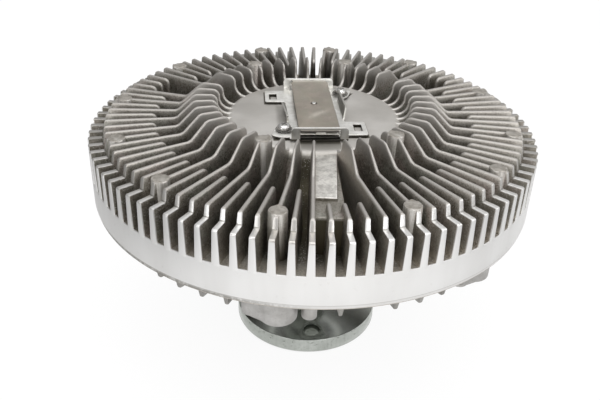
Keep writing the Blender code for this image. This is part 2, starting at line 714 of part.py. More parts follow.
def bimetal_bracket(material, frame):
    """Folded sheet: base with four ears, an end wall up at each end, a gusset at each side."""
    plate = LEDGE_HEIGHT + PLATE_RISE
    middle = plate + GAP + SHEET / 2
    wall = BRACKET_TOP - middle
    half = [(-16.5, -39.8), (16.5, -39.8), (16.5, -35.2), (30.3, -35.2), (30.3, -16.0),
            (17.5, -16.0), (17.5, -13.0), (17.5, 16.0), (17.5, 17.5), (24.5, 17.5), (28.0, 22.0),
            (28.0, 33.5), (23.5, 38.0), (16.5, 38.0)]
    points = half + [(-x, -y) for x, y in half]
    bm = bmesh.new()
    verts = [bm.verts.new((x, y, middle)) for x, y in points]
    bm.faces.new(verts)
    for turn in (0, len(half)):
        hand = 1 if turn == 0 else -1
        left, right = verts[turn], verts[turn + 1]
        crown = [left.co + Vector((0, 0, wall - 2.2)), left.co + Vector((hand * 2.2, 0, wall)),
                 right.co + Vector((-hand * 2.2, 0, wall)), right.co + Vector((0, 0, wall - 2.2))]
        bm.faces.new([right, left] + [bm.verts.new(point) for point in crown])
        front, back = verts[turn + 6], verts[turn + 7]
        crest = bm.verts.new(Vector((hand * 18.6, -hand * 3.5, middle + wall * 0.62)))
        peak = bm.verts.new(back.co + Vector((0, hand * 4.0, wall)))
        shoulder = bm.verts.new(back.co + Vector((0, hand * 4.0, wall * 0.75)))
        heel = bm.verts.new(back.co + Vector((0, hand * 0.4, wall * 0.5)))
        bm.faces.new((back, front, crest, peak, shoulder, heel))
    bm.edges.ensure_lookup_table()
    folds = [edge for edge in bm.edges if len(edge.link_faces) == 2]
    bmesh.ops.bevel(bm, geom=folds, offset=1.3, segments=2, affect='EDGES', profile=0.5)
    bracket = make_object("bimetal_bracket", bm, material, parent=frame)
    thick = bracket.modifiers.new("Sheet", 'SOLIDIFY')
    thick.thickness = SHEET * MM
    thick.offset = 0.0
    thick.use_even_offset = True
    thick.use_quality_normals = True
    graph = bpy.context.evaluated_depsgraph_get()
    sheet = bpy.data.meshes.new_from_object(bracket.evaluated_get(graph))
    bracket.modifiers.clear()
    bracket.data = sheet
    holes = bmesh.new()
    cylinder(holes, (0, 0), 4.0, plate - 2.0, plate + 4.0, 16)
    x, y = BRACKET_SCREW
    cylinder(holes, (-x, -y), 2.2, plate - 2.0, plate + 4.0, 12)
    cylinder(holes, (x, y), 2.2, plate - 2.0, plate + 4.0, 12)
    for hand in (-1, 1):
        sx, sy = hand * 25.0, -hand * 24.6
        outline = [(sx - 2.5, sy - 4.9), (sx + 2.5, sy - 4.9), (sx + 2.5, sy + 4.9), (sx - 2.5, sy + 4.9)]
        extruded(outline, plate - 2.0, plate + 4.0, holes)
    combine(bracket, make_object("bracket_holes", holes, parent=frame), 'DIFFERENCE')
    for hand in (-1, 1):
        tool = make_object("slot_tool", strip_slot(hand), parent=frame)
        combine(bracket, tool, 'DIFFERENCE')
    return smooth(bracket, 50)


def bimetal_strip(material, frame):
    """Flat two-metal strip held by a tongue at each end, with the pin's hole in its middle."""
    width, length, thick = STRIP_SIZE
    x = width / 2
    y = length / 2
    tongue = 11.2
    end = 41.4
    outline = [(-x, -y), (-tongue, -y), (-tongue, -end), (tongue, -end), (tongue, -y), (x, -y),
               (x, y), (tongue, y), (tongue, end), (-tongue, end), (-tongue, y), (-x, y)]
    strip = make_object("bimetal_strip", extruded(outline, STRIP_TOP - thick, STRIP_TOP), material,
                        parent=frame)
    hole = bmesh.new()
    cylinder(hole, (0, 0), STRIP_HOLE, STRIP_TOP - 4.0, STRIP_TOP + 2.0, 14)
    return combine(strip, make_object("strip_hole", hole, parent=frame), 'DIFFERENCE')


def bracket_washer(number, material):
    foot = LEDGE_HEIGHT + PLATE_RISE + GAP + SHEET + GAP
    point = control_points()[number - 1]
    outline = [(2.3, foot), (5.2, foot), (5.2, foot + 0.8), (2.3, foot + 0.8)]
    return smooth(make_object(f"bracket_washer_{number}", turned(outline, 14), material,
                              place=(point.x, point.y, 0)))


def bracket_screw(number, material):
    foot = LEDGE_HEIGHT + PLATE_RISE + GAP + SHEET + GAP + 0.8 + GAP
    point = control_points()[number - 1]
    outline = [(0.0, 148.0), (1.8, 148.8), (1.8, foot), (4.1, foot), (4.1, foot + 1.0),
               (3.4, foot + 2.1), (2.0, foot + 2.7), (0.0, foot + 2.9)]
    screw = make_object(f"bracket_screw_{number}", turned(outline, 14), material,
                        place=(point.x, point.y, 0))
    return smooth(screw)


def build():
    clear_scene()
    cast = paint("cast_aluminium", (0.42, 0.40, 0.38), 0.45, 0.9)
    rear_cast = paint("rear_cast_aluminium", (0.46, 0.46, 0.45), 0.45, 0.9)
    forged = paint("machined_steel", (0.38, 0.40, 0.38), 0.25, 1.0)
    bearing_steel = paint("bearing_steel", (0.60, 0.60, 0.60), 0.15, 1.0)
    cage_steel = paint("cage_steel", (0.45, 0.44, 0.42), 0.4, 1.0)
    spring_steel = paint("spring_steel", (0.20, 0.20, 0.21), 0.35, 1.0)
    rubber = paint("black_rubber", (0.03, 0.03, 0.03), 0.7, 0.0)
    rotor_cast = paint("rotor_aluminium", (0.50, 0.50, 0.50), 0.35, 0.9)
    zinc = paint("zinc_plated_steel", (0.66, 0.65, 0.62), 0.3, 1.0)
    bimetal = paint("bimetal", (0.33, 0.30, 0.27), 0.4, 0.8)
    screw_steel = paint("screw_steel", (0.62, 0.61, 0.58), 0.25, 1.0)

    frame = bpy.data.objects.new("control_frame", None)
    bpy.context.collection.objects.link(frame)
    frame.rotation_euler = (0, 0, radians(CONTROL_TURN))
    bpy.context.view_layer.update()

    flange_shaft(forged)
    inner_race(bearing_steel)
    outer_race(bearing_steel)
    bearing_cage(cage_steel)
    for number in range(1, BALL_COUNT + 1):
        bearing_ball(number, bearing_steel)
    bearing_circlip(spring_steel)
    shaft_seal(rubber)
    rear_housing(rear_cast)
    ring_seal("housing_seal_ring", 132.45, 112.35, 0.85, 36, rubber)
    front_cover(cast)
    drive_rotor(rotor_cast)
    rotor_washer(zinc)
    rotor_screw(screw_steel)
    valve_plate(zinc)
    for number in range(1, 5):
        valve_screw(number, screw_steel)
    valve_arm(spring_steel, frame)
    valve_rivet(screw_steel, frame)
    control_pin(screw_steel)
    ring_seal("pin_seal_ring", 2.45, 147.7, 0.6, 14, rubber)
    bimetal_bracket(zinc, frame)
    bimetal_strip(bimetal, frame)
    for number in (1, 2):
        bracket_washer(number, zinc)
        bracket_screw(number, screw_steel)


build()
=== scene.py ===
from math import atan2, cos, hypot, pi, radians, sin

import bpy
from mathutils import Matrix, Vector


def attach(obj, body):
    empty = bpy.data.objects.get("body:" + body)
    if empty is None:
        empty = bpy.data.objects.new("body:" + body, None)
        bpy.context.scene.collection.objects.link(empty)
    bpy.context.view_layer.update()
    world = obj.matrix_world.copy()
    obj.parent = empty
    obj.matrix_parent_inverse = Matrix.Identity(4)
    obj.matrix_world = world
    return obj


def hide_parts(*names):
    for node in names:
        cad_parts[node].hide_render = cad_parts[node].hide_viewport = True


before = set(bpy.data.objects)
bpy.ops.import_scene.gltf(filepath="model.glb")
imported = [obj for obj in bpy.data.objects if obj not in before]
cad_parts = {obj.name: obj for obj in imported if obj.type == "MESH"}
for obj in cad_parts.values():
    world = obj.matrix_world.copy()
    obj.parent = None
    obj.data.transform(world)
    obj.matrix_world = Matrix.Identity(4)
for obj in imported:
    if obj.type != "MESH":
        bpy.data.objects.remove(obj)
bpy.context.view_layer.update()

mm = 0.001
smoothAngle = 35
print("frame loaded")


# modelling helpers, all lengths in millimetres

def selectOnly(*items):
    if bpy.context.mode != "OBJECT":
        bpy.ops.object.mode_set(mode="OBJECT")
    bpy.ops.object.select_all(action="DESELECT")
    for item in items:
        item.select_set(True)
    if items:
        bpy.context.view_layer.objects.active = items[0]


def drawOutline(name, points, close=True):
    # a small plane is merged to one vertex, which is extruded from point to point
    selectOnly()
    bpy.context.tool_settings.mesh_select_mode = (True, False, False)
    places = [Vector(point) * mm for point in points]
    bpy.ops.mesh.primitive_plane_add(size=mm, location=places[0])
    piece = bpy.context.active_object
    piece.name = name
    piece.data.name = name
    bpy.ops.object.transform_apply(location=True, rotation=False, scale=False)
    bpy.ops.object.mode_set(mode="EDIT")
    bpy.ops.mesh.merge(type="CENTER")
    for here, there in zip(places, places[1:]):
        bpy.ops.mesh.extrude_vertices_move(TRANSFORM_OT_translate={"value": there - here})
    bpy.ops.mesh.select_all(action="SELECT")
    if close:
        bpy.ops.mesh.edge_face_add()
    return piece


def cleanUp(piece):
    bpy.ops.mesh.select_all(action="SELECT")
    bpy.ops.mesh.remove_doubles(threshold=0.000001)
    bpy.ops.mesh.normals_make_consistent(inside=False)
    bpy.ops.object.mode_set(mode="OBJECT")
    return piece


def turnPiece(name, outline, steps, close=True):
    # the outline is (radius, height) and is spun round the turning axis
    piece = drawOutline(name, [(radius, 0, height) for radius, height in outline], close)
    if close:
        bpy.ops.mesh.delete(type="ONLY_FACE")
        bpy.ops.mesh.select_all(action="SELECT")
    bpy.ops.mesh.spin(steps=steps, angle=2 * pi, center=(0, 0, 0), axis=(0, 0, 1))
    return cleanUp(piece)


def extrudePiece(name, points, move):
    piece = drawOutline(name, points)
    bpy.ops.mesh.extrude_region_move(TRANSFORM_OT_translate={"value": Vector(move) * mm})
    return cleanUp(piece)


def standPiece(name, outline, half):
    # an outline of (distance, height) points, equally thick on both sides of its plane
    return extrudePiece(name, [(distance, -half, height) for distance, height in outline], (0, 2 * half, 0))


def box(name, low, high):
    left, front, foot = low
    right, back, top = high
    points = [(left, front, foot), (right, front, foot), (right, back, foot), (left, back, foot)]
    return extrudePiece(name, points, (0, 0, top - foot))


def roundPost(name, centre, radius, low, high, sides, topRadius=None):
    selectOnly()
    bpy.ops.mesh.primitive_cone_add(vertices=sides, radius1=radius * mm, radius2=(topRadius or radius) * mm,
                                    depth=(high - low) * mm,
                                    location=(centre[0] * mm, centre[1] * mm, (low + high) / 2 * mm))
    post = bpy.context.active_object
    post.name = name
    bpy.ops.object.transform_apply(location=True, rotation=True, scale=True)
    return post


def bevelPicked(piece, width, steps):
    bpy.ops.mesh.bevel(offset=width * mm, segments=steps, affect="EDGES", profile=0.5)
    bpy.ops.object.mode_set(mode="OBJECT")
    return piece


def bevelEdges(piece, wanted, width, steps):
    # wanted is asked about the two ends of each edge
    selectOnly(piece)
    mesh = piece.data
    for part in (mesh.vertices, mesh.edges, mesh.polygons):
        for item in part:
            item.select = False
    for edge in mesh.edges:
        edge.select = wanted(*[mesh.vertices[i].co / mm for i in edge.vertices])
    bpy.context.tool_settings.mesh_select_mode = (False, True, False)
    bpy.ops.object.mode_set(mode="EDIT")
    return bevelPicked(piece, width, steps)


def bevelSharp(piece, width, steps, angle=32):
    selectOnly(piece)
    bpy.ops.object.mode_set(mode="EDIT")
    bpy.context.tool_settings.mesh_select_mode = (False, True, False)
    bpy.ops.mesh.select_all(action="DESELECT")
    bpy.ops.mesh.edges_select_sharp(sharpness=radians(angle))
    return bevelPicked(piece, width, steps)


def cutWith(piece, tool, operation="DIFFERENCE"):
    selectOnly(piece)
    cut = piece.modifiers.new("cut", "BOOLEAN")
    cut.operation = operation
    cut.solver = "EXACT"
    cut.object = tool
    bpy.ops.object.modifier_apply(modifier="cut")
    bpy.data.objects.remove(tool, do_unlink=True)
    return piece


def copyTurned(piece, azimuth):
    twin = piece.copy()
    twin.data = piece.data.copy()
    twin.data.transform(Matrix.Rotation(radians(azimuth), 4, "Z"))
    bpy.context.scene.collection.objects.link(twin)
    return twin


def joinPieces(first, others):
    selectOnly(first, *others)
    bpy.ops.object.join()
    return first


def removePieces(pieces):
    for piece in pieces:
        bpy.data.objects.remove(piece, do_unlink=True)


def wear(piece, material):
    piece.data.materials.clear()
    piece.data.materials.append(material)
    return piece


def moveTo(piece, turn=0.0, place=(0, 0, 0)):
    # moves the shape and leaves the object at the origin
    piece.data.transform(Matrix.Translation(Vector(place) * mm) @ Matrix.Rotation(radians(turn), 4, "Z"))
    return piece


def finish(piece, material, body, nodes):
    selectOnly(piece)
    bpy.ops.object.shade_smooth_by_angle(angle=radians(smoothAngle))
    if material:
        wear(piece, material)
    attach(piece, body)
    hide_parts(*nodes)
    return piece


def arcPoints(centre, radius, start, end, steps):
    angles = [radians(start + (end - start) * i / steps) for i in range(steps + 1)]
    return [(centre[0] + radius * cos(a), centre[1] + radius * sin(a)) for a in angles]


def polar(radius, azimuth):
    return radius * cos(radians(azimuth)), radius * sin(radians(azimuth))


# shader maths: a wire is one output of a node, and sums on wires add Math nodes

class Wire:
    def __init__(self, paint, socket):
        self.paint = paint
        self.socket = socket

    def beside(self, name):
        # another output of the same node
        return Wire(self.paint, self.socket.node.outputs[name])

    def maths(self, operation, *values):
        return self.paint.node("ShaderNodeMath", {"operation": operation}, dict(enumerate(values)))

    def __add__(self, other):
        return self.maths("ADD", self, other)

    def __radd__(self, other):
        return self.maths("ADD", other, self)

    def __sub__(self, other):
        return self.maths("SUBTRACT", self, other)

    def __rsub__(self, other):
        return self.maths("SUBTRACT", other, self)

    def __mul__(self, other):
        return self.maths("MULTIPLY", self, other)

    def __rmul__(self, other):
        return self.maths("MULTIPLY", other, self)

    def __pow__(self, other):
        return self.maths("POWER", self, other)

    def smaller(self, other):
        return self.maths("MINIMUM", self, other)

    def larger(self, other):
        return self.maths("MAXIMUM", self, other)

    def clipped(self):
        return self.smaller(1.0).larger(0.0)

    def fromMiddle(self):
        # how far from nought, on either side
        return self.maths("ABSOLUTE", self)

    def ramp(self, none, full):
        # 0 at the first value and 1 at the second, whichever of them is larger, and soft at both
        return self.paint.node("ShaderNodeMapRange", {"interpolation_type": "SMOOTHSTEP"},
                               {"Value": self, "From Min": none, "From Max": full})


class Paint:
    def __init__(self, name, look, metallic=1.0, specular=0.5):
        self.look = look
        self.material = bpy.data.materials.new(name)
        self.material.use_nodes = True
        self.tree = self.material.node_tree
        self.shader = self.tree.nodes["Principled BSDF"]
        self.set("Metallic", metallic)
        self.set("Specular IOR Level", specular)
        self.place = self.node("ShaderNodeTexCoord", {}, {}, "Object")

    def feed(self, socket, value):
        if isinstance(value, Wire):
            self.tree.links.new(value.socket, socket)
        elif isinstance(value, tuple) and socket.type == "RGBA":
            socket.default_value = (*value, 1.0)
        else:
            socket.default_value = value

    def set(self, name, value):
        self.feed(self.shader.inputs[name], value)

    def node(self, kind, settings, inputs, output=0):
        made = self.tree.nodes.new(kind)
        for key, value in settings.items():
            setattr(made, key, value)
        for key, value in inputs.items():
            self.feed(made.inputs[key], value)
        return Wire(self, made.outputs[output])

    def mix(self, factor, first, second):
        return self.node("ShaderNodeMix", {"data_type": "RGBA"}, {0: factor, 6: first, 7: second}, 2)

    def mixValue(self, factor, first, second):
        return self.node("ShaderNodeMix", {"data_type": "FLOAT"}, {0: factor, 2: first, 3: second})

    def noise(self, scale, detail=3.0, roughness=0.5, stretch=(1, 1, 1), seed=0.0):
        # scale is in features to the millimetre
        shift = (seed, seed * 0.7, -seed)
        moved = {"Vector": self.place, "Location": shift, "Scale": stretch}
        return self.node("ShaderNodeTexNoise", {"noise_dimensions": "3D"},
                         {"Vector": self.node("ShaderNodeMapping", {}, moved), "Scale": scale / mm,
                          "Detail": detail, "Roughness": roughness})

    def lines(self, value, scale):
        # fine marks that change with one value only, such as a lathe's
        return self.node("ShaderNodeTexNoise", {"noise_dimensions": "1D"},
                         {"W": value, "Scale": scale, "Detail": 4.0, "Roughness": 0.65})

    def axes(self):
        parts = self.node("ShaderNodeSeparateXYZ", {}, {"Vector": self.place})
        return [parts.beside(i) for i in range(3)]

    def places(self):
        # x, y and height, then the distance from the turning axis, all in millimetres
        x, y, height = [axis * (1 / mm) for axis in self.axes()]
        return x, y, height, (x * x + y * y) ** 0.5

    def start(self, factor, first, second):
        # the first coat is a mixture of two of the look's colours
        self.colour = self.mix(factor, self.look[first], self.look[second])

    def layer(self, mask, name):
        # lays one of the look's colours over what is there, as far as the mask says
        self.colour = self.mix(mask, self.colour, self.look[name])

    def finished(self, roughness, marks, depth, strength=1.0):
        # the marks are a pattern of heights, raised by the depth in millimetres
        raised = {"Height": marks, "Distance": depth * mm, "Strength": strength}
        self.set("Base Color", self.colour)
        self.set("Roughness", roughness)
        self.set("Normal", self.node("ShaderNodeBump", {}, raised))
        return self.material


# finishes and places that several pieces share

def turnedAxes(paint, azimuth):
    # the place along and across a direction, in millimetres
    x, y = paint.places()[:2]
    turn = radians(azimuth)
    return x * cos(turn) + y * sin(turn), y * cos(turn) - x * sin(turn)


def patch(along, across, sides, soft=0.4):
    left, right, front, back = sides
    wide = along.ramp(left - soft, left + soft) * along.ramp(right + soft, right - soft)
    return wide * across.ramp(front - soft, front + soft) * across.ramp(back + soft, back - soft)


steelLooks = {
    "zincSheet": {"colour": (0.66, 0.65, 0.63), "shade": (0.50, 0.49, 0.47), "roughness": 0.26},
    "screwSteel": {"colour": (0.72, 0.71, 0.69), "shade": (0.55, 0.54, 0.52), "roughness": 0.18},
    "washerSteel": {"colour": (0.34, 0.33, 0.31), "shade": (0.20, 0.195, 0.185), "roughness": 0.34},
    "bearingSteel": {"colour": (0.62, 0.62, 0.62), "shade": (0.52, 0.52, 0.52), "roughness": 0.10,
                     "scratch": 0.001},
    "cageSteel": {"colour": (0.50, 0.49, 0.46), "shade": (0.38, 0.37, 0.35), "roughness": 0.32},
    "springSteel": {"colour": (0.22, 0.22, 0.23), "shade": (0.15, 0.15, 0.16), "roughness": 0.30},
}


def plainSteel(name):
    look = steelLooks[name]
    paint = Paint(name, look)
    fine = paint.noise(1.8, 3.0, 0.6, stretch=(1.0, 0.12, 1.0), seed=5.0)
    paint.start(paint.noise(0.20, 4.0, 0.6).ramp(0.3, 0.7), "shade", "colour")
    return paint.finished(look["roughness"] + fine * 0.14, fine, look.get("scratch", 0.004), 0.8)


steels = {name: plainSteel(name) for name in steelLooks}
print("shared finishes ready")


# front cover: a turned body, 90 bevelled fins, posts and return pads, in millimetres and degrees

cover = {
    "fins": 90, "first": -89.18, "tip": 2.4, "draft": 0.08, "castEnd": 144.0, "root": 127.8, "ridge": 1.25,
    "edge": 0.08, "radius": 139.95, "ledge": 149.2, "stepRadius": 131.0, "step": 156.4, "riserLean": 0.19,
    "floor": 129.2, "slopeFoot": 86.7, "slopeHead": 75.2, "crown": 167.2, "crownCorner": 4.5,
    "crownEnd": 60.5, "footFillet": 6.6, "plate": 155.2, "plateEdge": 51.4, "shortEnd": 98.5,
    "shortCorner": 3.4, "windowEnd": 112.0, "windowStep": 30, "windowFins": (1, 2, 3),
    "rimFoot": 107.7, "rimBore": 136.3, "lipBore": 133.5, "lipTop": 109.3, "shoulder": 113.5,
    "chamberRadius": 127.5, "chamberTop": 125.2, "ribs": (108.0, 96.0), "ribFoot": 122.0, "ribWidth": 3.0,
    "seatRadius": 58.5, "seatTop": 127.9, "domeRadius": 48.0, "domeTop": 151.2, "pinHole": 1.8,
    "pinBoss": 143.0, "controlTurn": 5.8,
    "outerPosts": [6.0, 14.0, 19.8, 28.0, 36.0, 43.6, 49.8, 58.0, 66.1, 73.2, 79.9, 88.0],
    "innerPosts": [10.4, 40.5, 54.0, 84.1],
    "outerPost": {"place": 124.0, "radius": 5.0, "top": 157.2},
    "innerPost": {"place": 70.0, "radius": 4.9, "top": 167.88},
}
finPitch = 360.0 / cover["fins"]

pads = {"near": 0.6, "lean": 0.7, "edge": 0.9,
        "low": {"start": 46.0, "end": 120.5, "far": (13.2, 17.4), "top": 151.7},
        "high": {"start": 45.0, "end": 104.0, "far": (14.1, 12.8), "top": 153.7}}

# the dark stain colour serves both real stains and painted shade in the finishes below
castLook = {"side": (0.50, 0.47, 0.43), "sideWarm": (0.53, 0.465, 0.435), "sideCool": (0.475, 0.475, 0.425),
            "sideDull": (0.32, 0.298, 0.262), "ridge": (0.47, 0.45, 0.425),
            "stainAndShade": (0.086, 0.076, 0.052), "dust": (0.80, 0.78, 0.74), "machined": (0.85, 0.845, 0.835),
            "plate": (0.69, 0.67, 0.64), "plateDull": (0.54, 0.52, 0.49),
            "pad": (0.86, 0.84, 0.80), "outer": (0.66, 0.615, 0.55), "shoulder": (0.62, 0.59, 0.545),
            "ledgeShade": (0.36, 0.34, 0.31), "top": (0.50, 0.47, 0.43), "grain": 0.045}


class CastPaint(Paint):
    # what every cast face of the cover shares: grey that is warm or cool in clouds, stains and dark specks
    def __init__(self, name):
        super().__init__(name, castLook)
        self.x, self.y, self.height, self.radius = self.places()
        self.cloud = self.noise(0.045, 4.0, 0.6)
        self.speck = self.noise(0.9, 3.0, 0.65, seed=3.0)
        self.start(self.noise(0.055, 3.0, 0.6, seed=51.0).ramp(0.38, 0.62), "sideWarm", "sideCool")
        self.layer(self.cloud.ramp(0.68, 0.35), "sideDull")
        self.layer(self.noise(0.30, 4.0, 0.7, seed=29.0).ramp(0.42, 0.66) * 0.36, "stainAndShade")
        self.layer(self.speck.ramp(0.47, 0.62) * 0.50, "stainAndShade")


# left, right, front and back of the painted shade patches round the bracket, in its own directions
paintedShade = {"mouth": (-11.4, 12.5, -70.0, -30.0), "flank": (-23.5, -16.0, -23.0, 13.0),
         "ears": [(17.0, 31.0, -36.3, -15.4), (-31.0, -17.0, 15.4, 36.3)],
         "slots": [(23.4, 27.5, -29.6, -21.0), (-26.4, -22.4, 19.6, 28.0)],
         "rightTip": (-1.4, 1.3, 18.0, 34.4), "leftTip": (-27.0, -16.0, -39.2, -36.0)}


def bracketShade(paint):
    # painted shade round the ears' edges, in the slots' corners, beside the left wing and in front of the
    # bracket's open end
    along, across = turnedAxes(paint, cover["controlTurn"])
    mouth = patch(along, across, paintedShade["mouth"])
    mouth = mouth * (across.ramp(-60.0, -44.0) * 0.55 + across.ramp(-45.5, -42.0) * 0.40)
    flank = patch(along, across, paintedShade["flank"], 1.6) * 0.38
    rightEar, leftEar = [patch(along, across, sides) for sides in paintedShade["ears"]]
    rightSlot, leftSlot = [patch(along, across, sides) for sides in paintedShade["slots"]]
    ears = rightEar.larger(leftEar) * (1.0 - rightSlot.larger(leftSlot))
    slant = (along - 18.0) * 0.83 - (across - 19.0) * 0.56
    tips = patch(slant, across, paintedShade["rightTip"]).larger(patch(along, across, paintedShade["leftTip"]))
    return mouth.larger(ears).larger(tips).larger(flank).clipped() * 0.92


def finTurn(paint):
    # the angle from the first fin, counted in fins
    return paint.y.maths("ARCTAN2", paint.y, paint.x) * (1 / radians(finPitch)) - cover["first"] / finPitch


def finOffset(turn, radius):
    # distance from the middle plane of the nearest fin
    part = turn - turn.maths("ROUND", turn)
    return (part * radians(finPitch) * radius).fromMiddle()


def coverMachined(paint):
    # where the lathe went: the band, the ledge and the riser behind it
    outer, step, ledge = cover["radius"], cover["stepRadius"], cover["ledge"]
    height, radius = paint.height, paint.radius
    rim = radius.ramp(outer - 0.75, outer - 0.5)
    top = radius.ramp(step, step + 0.3) * height.ramp(ledge - 0.5, ledge - 0.3)
    corner = step + ledge * cover["riserLean"]
    riser = (radius + height * cover["riserLean"]).ramp(corner - 0.5, corner - 0.3)
    riser = riser * height.ramp(ledge - 0.3, ledge) * height.ramp(cover["step"] - 0.4, cover["step"] - 1.0)
    return rim.larger(top).larger(riser)


def grooveShadeAndDirt(paint, window):
    # painted shade and dirt deep in the grooves and near the hub, less at the sides and in the window, darker
    # at the back, a darker ring at the step on the left and right, and paler feet of the fins near the rim
    x, y, height, radius = paint.x, paint.y, paint.height, paint.radius
    aside = x.fromMiddle().ramp(30.0, 80.0) * y.ramp(-60.0, 50.0)
    nearLeft = x.ramp(-10.0, -50.0) * y.ramp(-20.0, -60.0)
    deep = height.ramp(153.0, 130.0) * (1.0 - radius.ramp(116.0, 136.0) * 0.75)
    deep = (deep * (0.30 + paint.cloud)).clipped() * (0.66 + nearLeft * 0.10 - window * 0.4)
    paint.layer(deep * (1.0 - aside * 0.60), "stainAndShade")
    paint.layer(y.ramp(40.0, 90.0) * x.fromMiddle().ramp(70.0, 30.0) * (1.0 - window) * 0.50, "stainAndShade")
    paint.layer(radius.ramp(126.0, 133.0) * x.ramp(-100.0, 0.0) * 0.25, "outer")
    paint.layer(radius.ramp(130.5, 131.5) * x.fromMiddle().ramp(60.0, 100.0) * 0.38, "stainAndShade")
    foot = height.ramp(136.0, 130.0) * radius.ramp(127.0, 136.0) * (1.0 - x.ramp(-30.0, -80.0) * 0.8)
    paint.layer(foot * paint.speck.ramp(0.36, 0.60) * 0.75, "outer")


def grooveFloor(paint, turn):
    # painted shade and dirt on the floor between the fins and in the channel beside the return pads
    paint.layer(paint.height.ramp(140.0, 130.5) * paint.radius.ramp(130.0, 112.0) * 0.85, "stainAndShade")
    channel = turn.ramp(-1.7, -1.5) * turn.ramp(0.0, -0.1) * paint.height.ramp(154.0, 150.0)
    paint.layer(channel * paint.radius.ramp(118.0, 104.0) * 0.92, "stainAndShade")


def finRidges(paint, turn):
    # painted light: below the sloping tops the fins' sides are painted paler, most on the left and right, and
    # a painted highlight runs along each ridge's round
    x, y, radius = paint.x, paint.y, paint.radius
    slope = {"Value": radius, "From Min": cover["slopeFoot"], "From Max": cover["slopeHead"],
             "To Min": cover["step"], "To Max": cover["crown"]}
    depth = paint.node("ShaderNodeMapRange", {}, slope) - paint.height
    sides = x.ramp(20.0, 100.0).larger(x.ramp(-30.0, -120.0) * (0.62 + y.ramp(-20.0, 60.0) * 0.3))
    shoulder = depth.ramp(4.6, 0.8) * (0.12 + sides * 0.88) * (1.15 - paint.speck.ramp(0.45, 0.65) * 0.5)
    paint.layer(shoulder.clipped() * (0.75 + x.ramp(30.0, 90.0) * 0.22), "shoulder")
    ridge = finOffset(turn, radius).ramp(1.30, 0.75) * paint.height.ramp(147.0, 154.5)
    paint.layer(ridge * (0.75 + paint.speck * 0.4).clipped(), "ridge")


def machinedFaces(paint, machined):
    # smeared metal with painted shade and reflection: darker at the ledge's sides and back, greyer in its
    # middle, with a grey line and a darker foot low on the band
    x, y, radius = paint.x, paint.y, paint.radius
    overLedge = paint.height - cover["ledge"]
    overFoot = paint.height - cover["rimFoot"]
    smear = paint.noise(0.05, 3.0, 0.55, stretch=(1.0, 1.0, 0.2), seed=11.0)
    smudge = paint.noise(0.22, 4.0, 0.7, seed=13.0)
    cast = paint.colour
    paint.start(smear.ramp(0.3, 0.7) * 0.16, "machined", "ridge")
    paint.layer(smudge.ramp(0.60, 0.78) * 0.22, "side")
    paint.layer(smudge.ramp(0.46, 0.70) * overLedge.ramp(-1.8, -0.6) * 0.34, "side")
    # painted reflection: greyer in the middle in front, on the ledge and risers
    middle = x.ramp(-34.0, -20.0) * x.ramp(18.0, 9.0) * y.ramp(0.0, -20.0) * overLedge.ramp(-1.8, -0.8)
    paint.layer(middle * 0.6, "side")
    # painted shade: the ledge is darker at its sides and back, and the risers at the left and right
    aside = x.ramp(-55.0, -120.0) * 0.62 + x.ramp(70.0, 130.0) * 0.3
    away = y.ramp(-85.0, -20.0).larger(aside) * overLedge.ramp(-0.9, -0.4)
    paint.layer(away * (0.60 + smear * 0.4).clipped(), "ledgeShade")
    riser = overLedge.ramp(0.1, 0.5) * x.ramp(-45.0, -85.0).larger(x.ramp(65.0, 100.0) * 0.7)
    paint.layer(riser * 0.62, "ledgeShade")
    # painted shade: a grey line and a darker foot low on the band, darker on the left, and smudged dirt with
    # shade at its lower left
    rimLine = overFoot.ramp(2.8, 3.1) * overFoot.ramp(3.9, 3.6)
    rimFoot = overFoot.ramp(1.7, 0.6).larger(overFoot.ramp(3.5, 3.1) * 0.22)
    rimFoot = rimFoot + overFoot.ramp(4.3, 2.3) * x.ramp(-20.0, -90.0) * 0.35
    paint.layer((rimLine * 0.55).larger(rimFoot).clipped() * 0.75, "sideDull")
    paint.layer(overFoot.ramp(4.1, 1.9) * x.ramp(20.0, -50.0) * smudge.ramp(0.34, 0.56) * 0.62, "stainAndShade")
    # painted shade in the corner where the ledge meets the riser
    corner = radius.ramp(cover["stepRadius"] + 0.9, cover["stepRadius"] + 0.5)
    paint.layer(corner * overLedge.ramp(-0.05, 0.1) * overLedge.ramp(0.7, 0.4) * 0.6, "stainAndShade")
    paint.colour = paint.mix(machined, cast, paint.colour)


def castCover(name, fins=False):
    # for the body between the fins, or for the fins themselves
    paint = CastPaint(name)
    height, radius, speck = paint.height, paint.radius, paint.speck
    turn = finTurn(paint)
    window = turn.ramp(1.0, 1.2) * turn.ramp(4.0, 3.9) * radius.ramp(116.0, 108.0)
    grooveShadeAndDirt(paint, window)
    if fins:
        # painted light: the fins' sides in the window between the pads are paler
        paint.layer(window * 0.6, "outer")
    else:
        grooveFloor(paint, turn)
    dust = paint.noise(1.1, 2.0, 0.55, seed=17.0) * (0.75 + paint.noise(0.05, 2.0, 0.5, seed=19.0) * 0.5)
    paint.layer(dust.ramp(0.61, 0.73) * 0.6, "dust")
    if fins:
        finRidges(paint, turn)
    cast = paint.colour
    paint.start(paint.noise(0.03, 3.0, 0.5, seed=23.0).ramp(0.3, 0.7), "plateDull", "plate")
    paint.colour = paint.mix(radius.ramp(60.0, 53.0) * height.ramp(150.0, 155.0), cast, paint.colour)
    if not fins:
        # painted shade round the bracket on the hub plate
        paint.layer(bracketShade(paint), "stainAndShade")
    machined = coverMachined(paint)
    machinedFaces(paint, machined)
    turnedMarks = paint.lines(height, 2.4)
    faceMarks = paint.lines(radius, 2.4)
    roughness = (0.44 + speck * 0.2) * (1.0 - machined) + (0.34 + turnedMarks * 0.12) * machined
    grain = paint.noise(2.6, 3.0, 0.7, seed=7.0)
    marks = (speck * 0.7 + grain * 0.5) * (1.0 - machined) + (turnedMarks + faceMarks) * machined * 0.10
    return paint.finished(roughness, marks, paint.look["grain"])


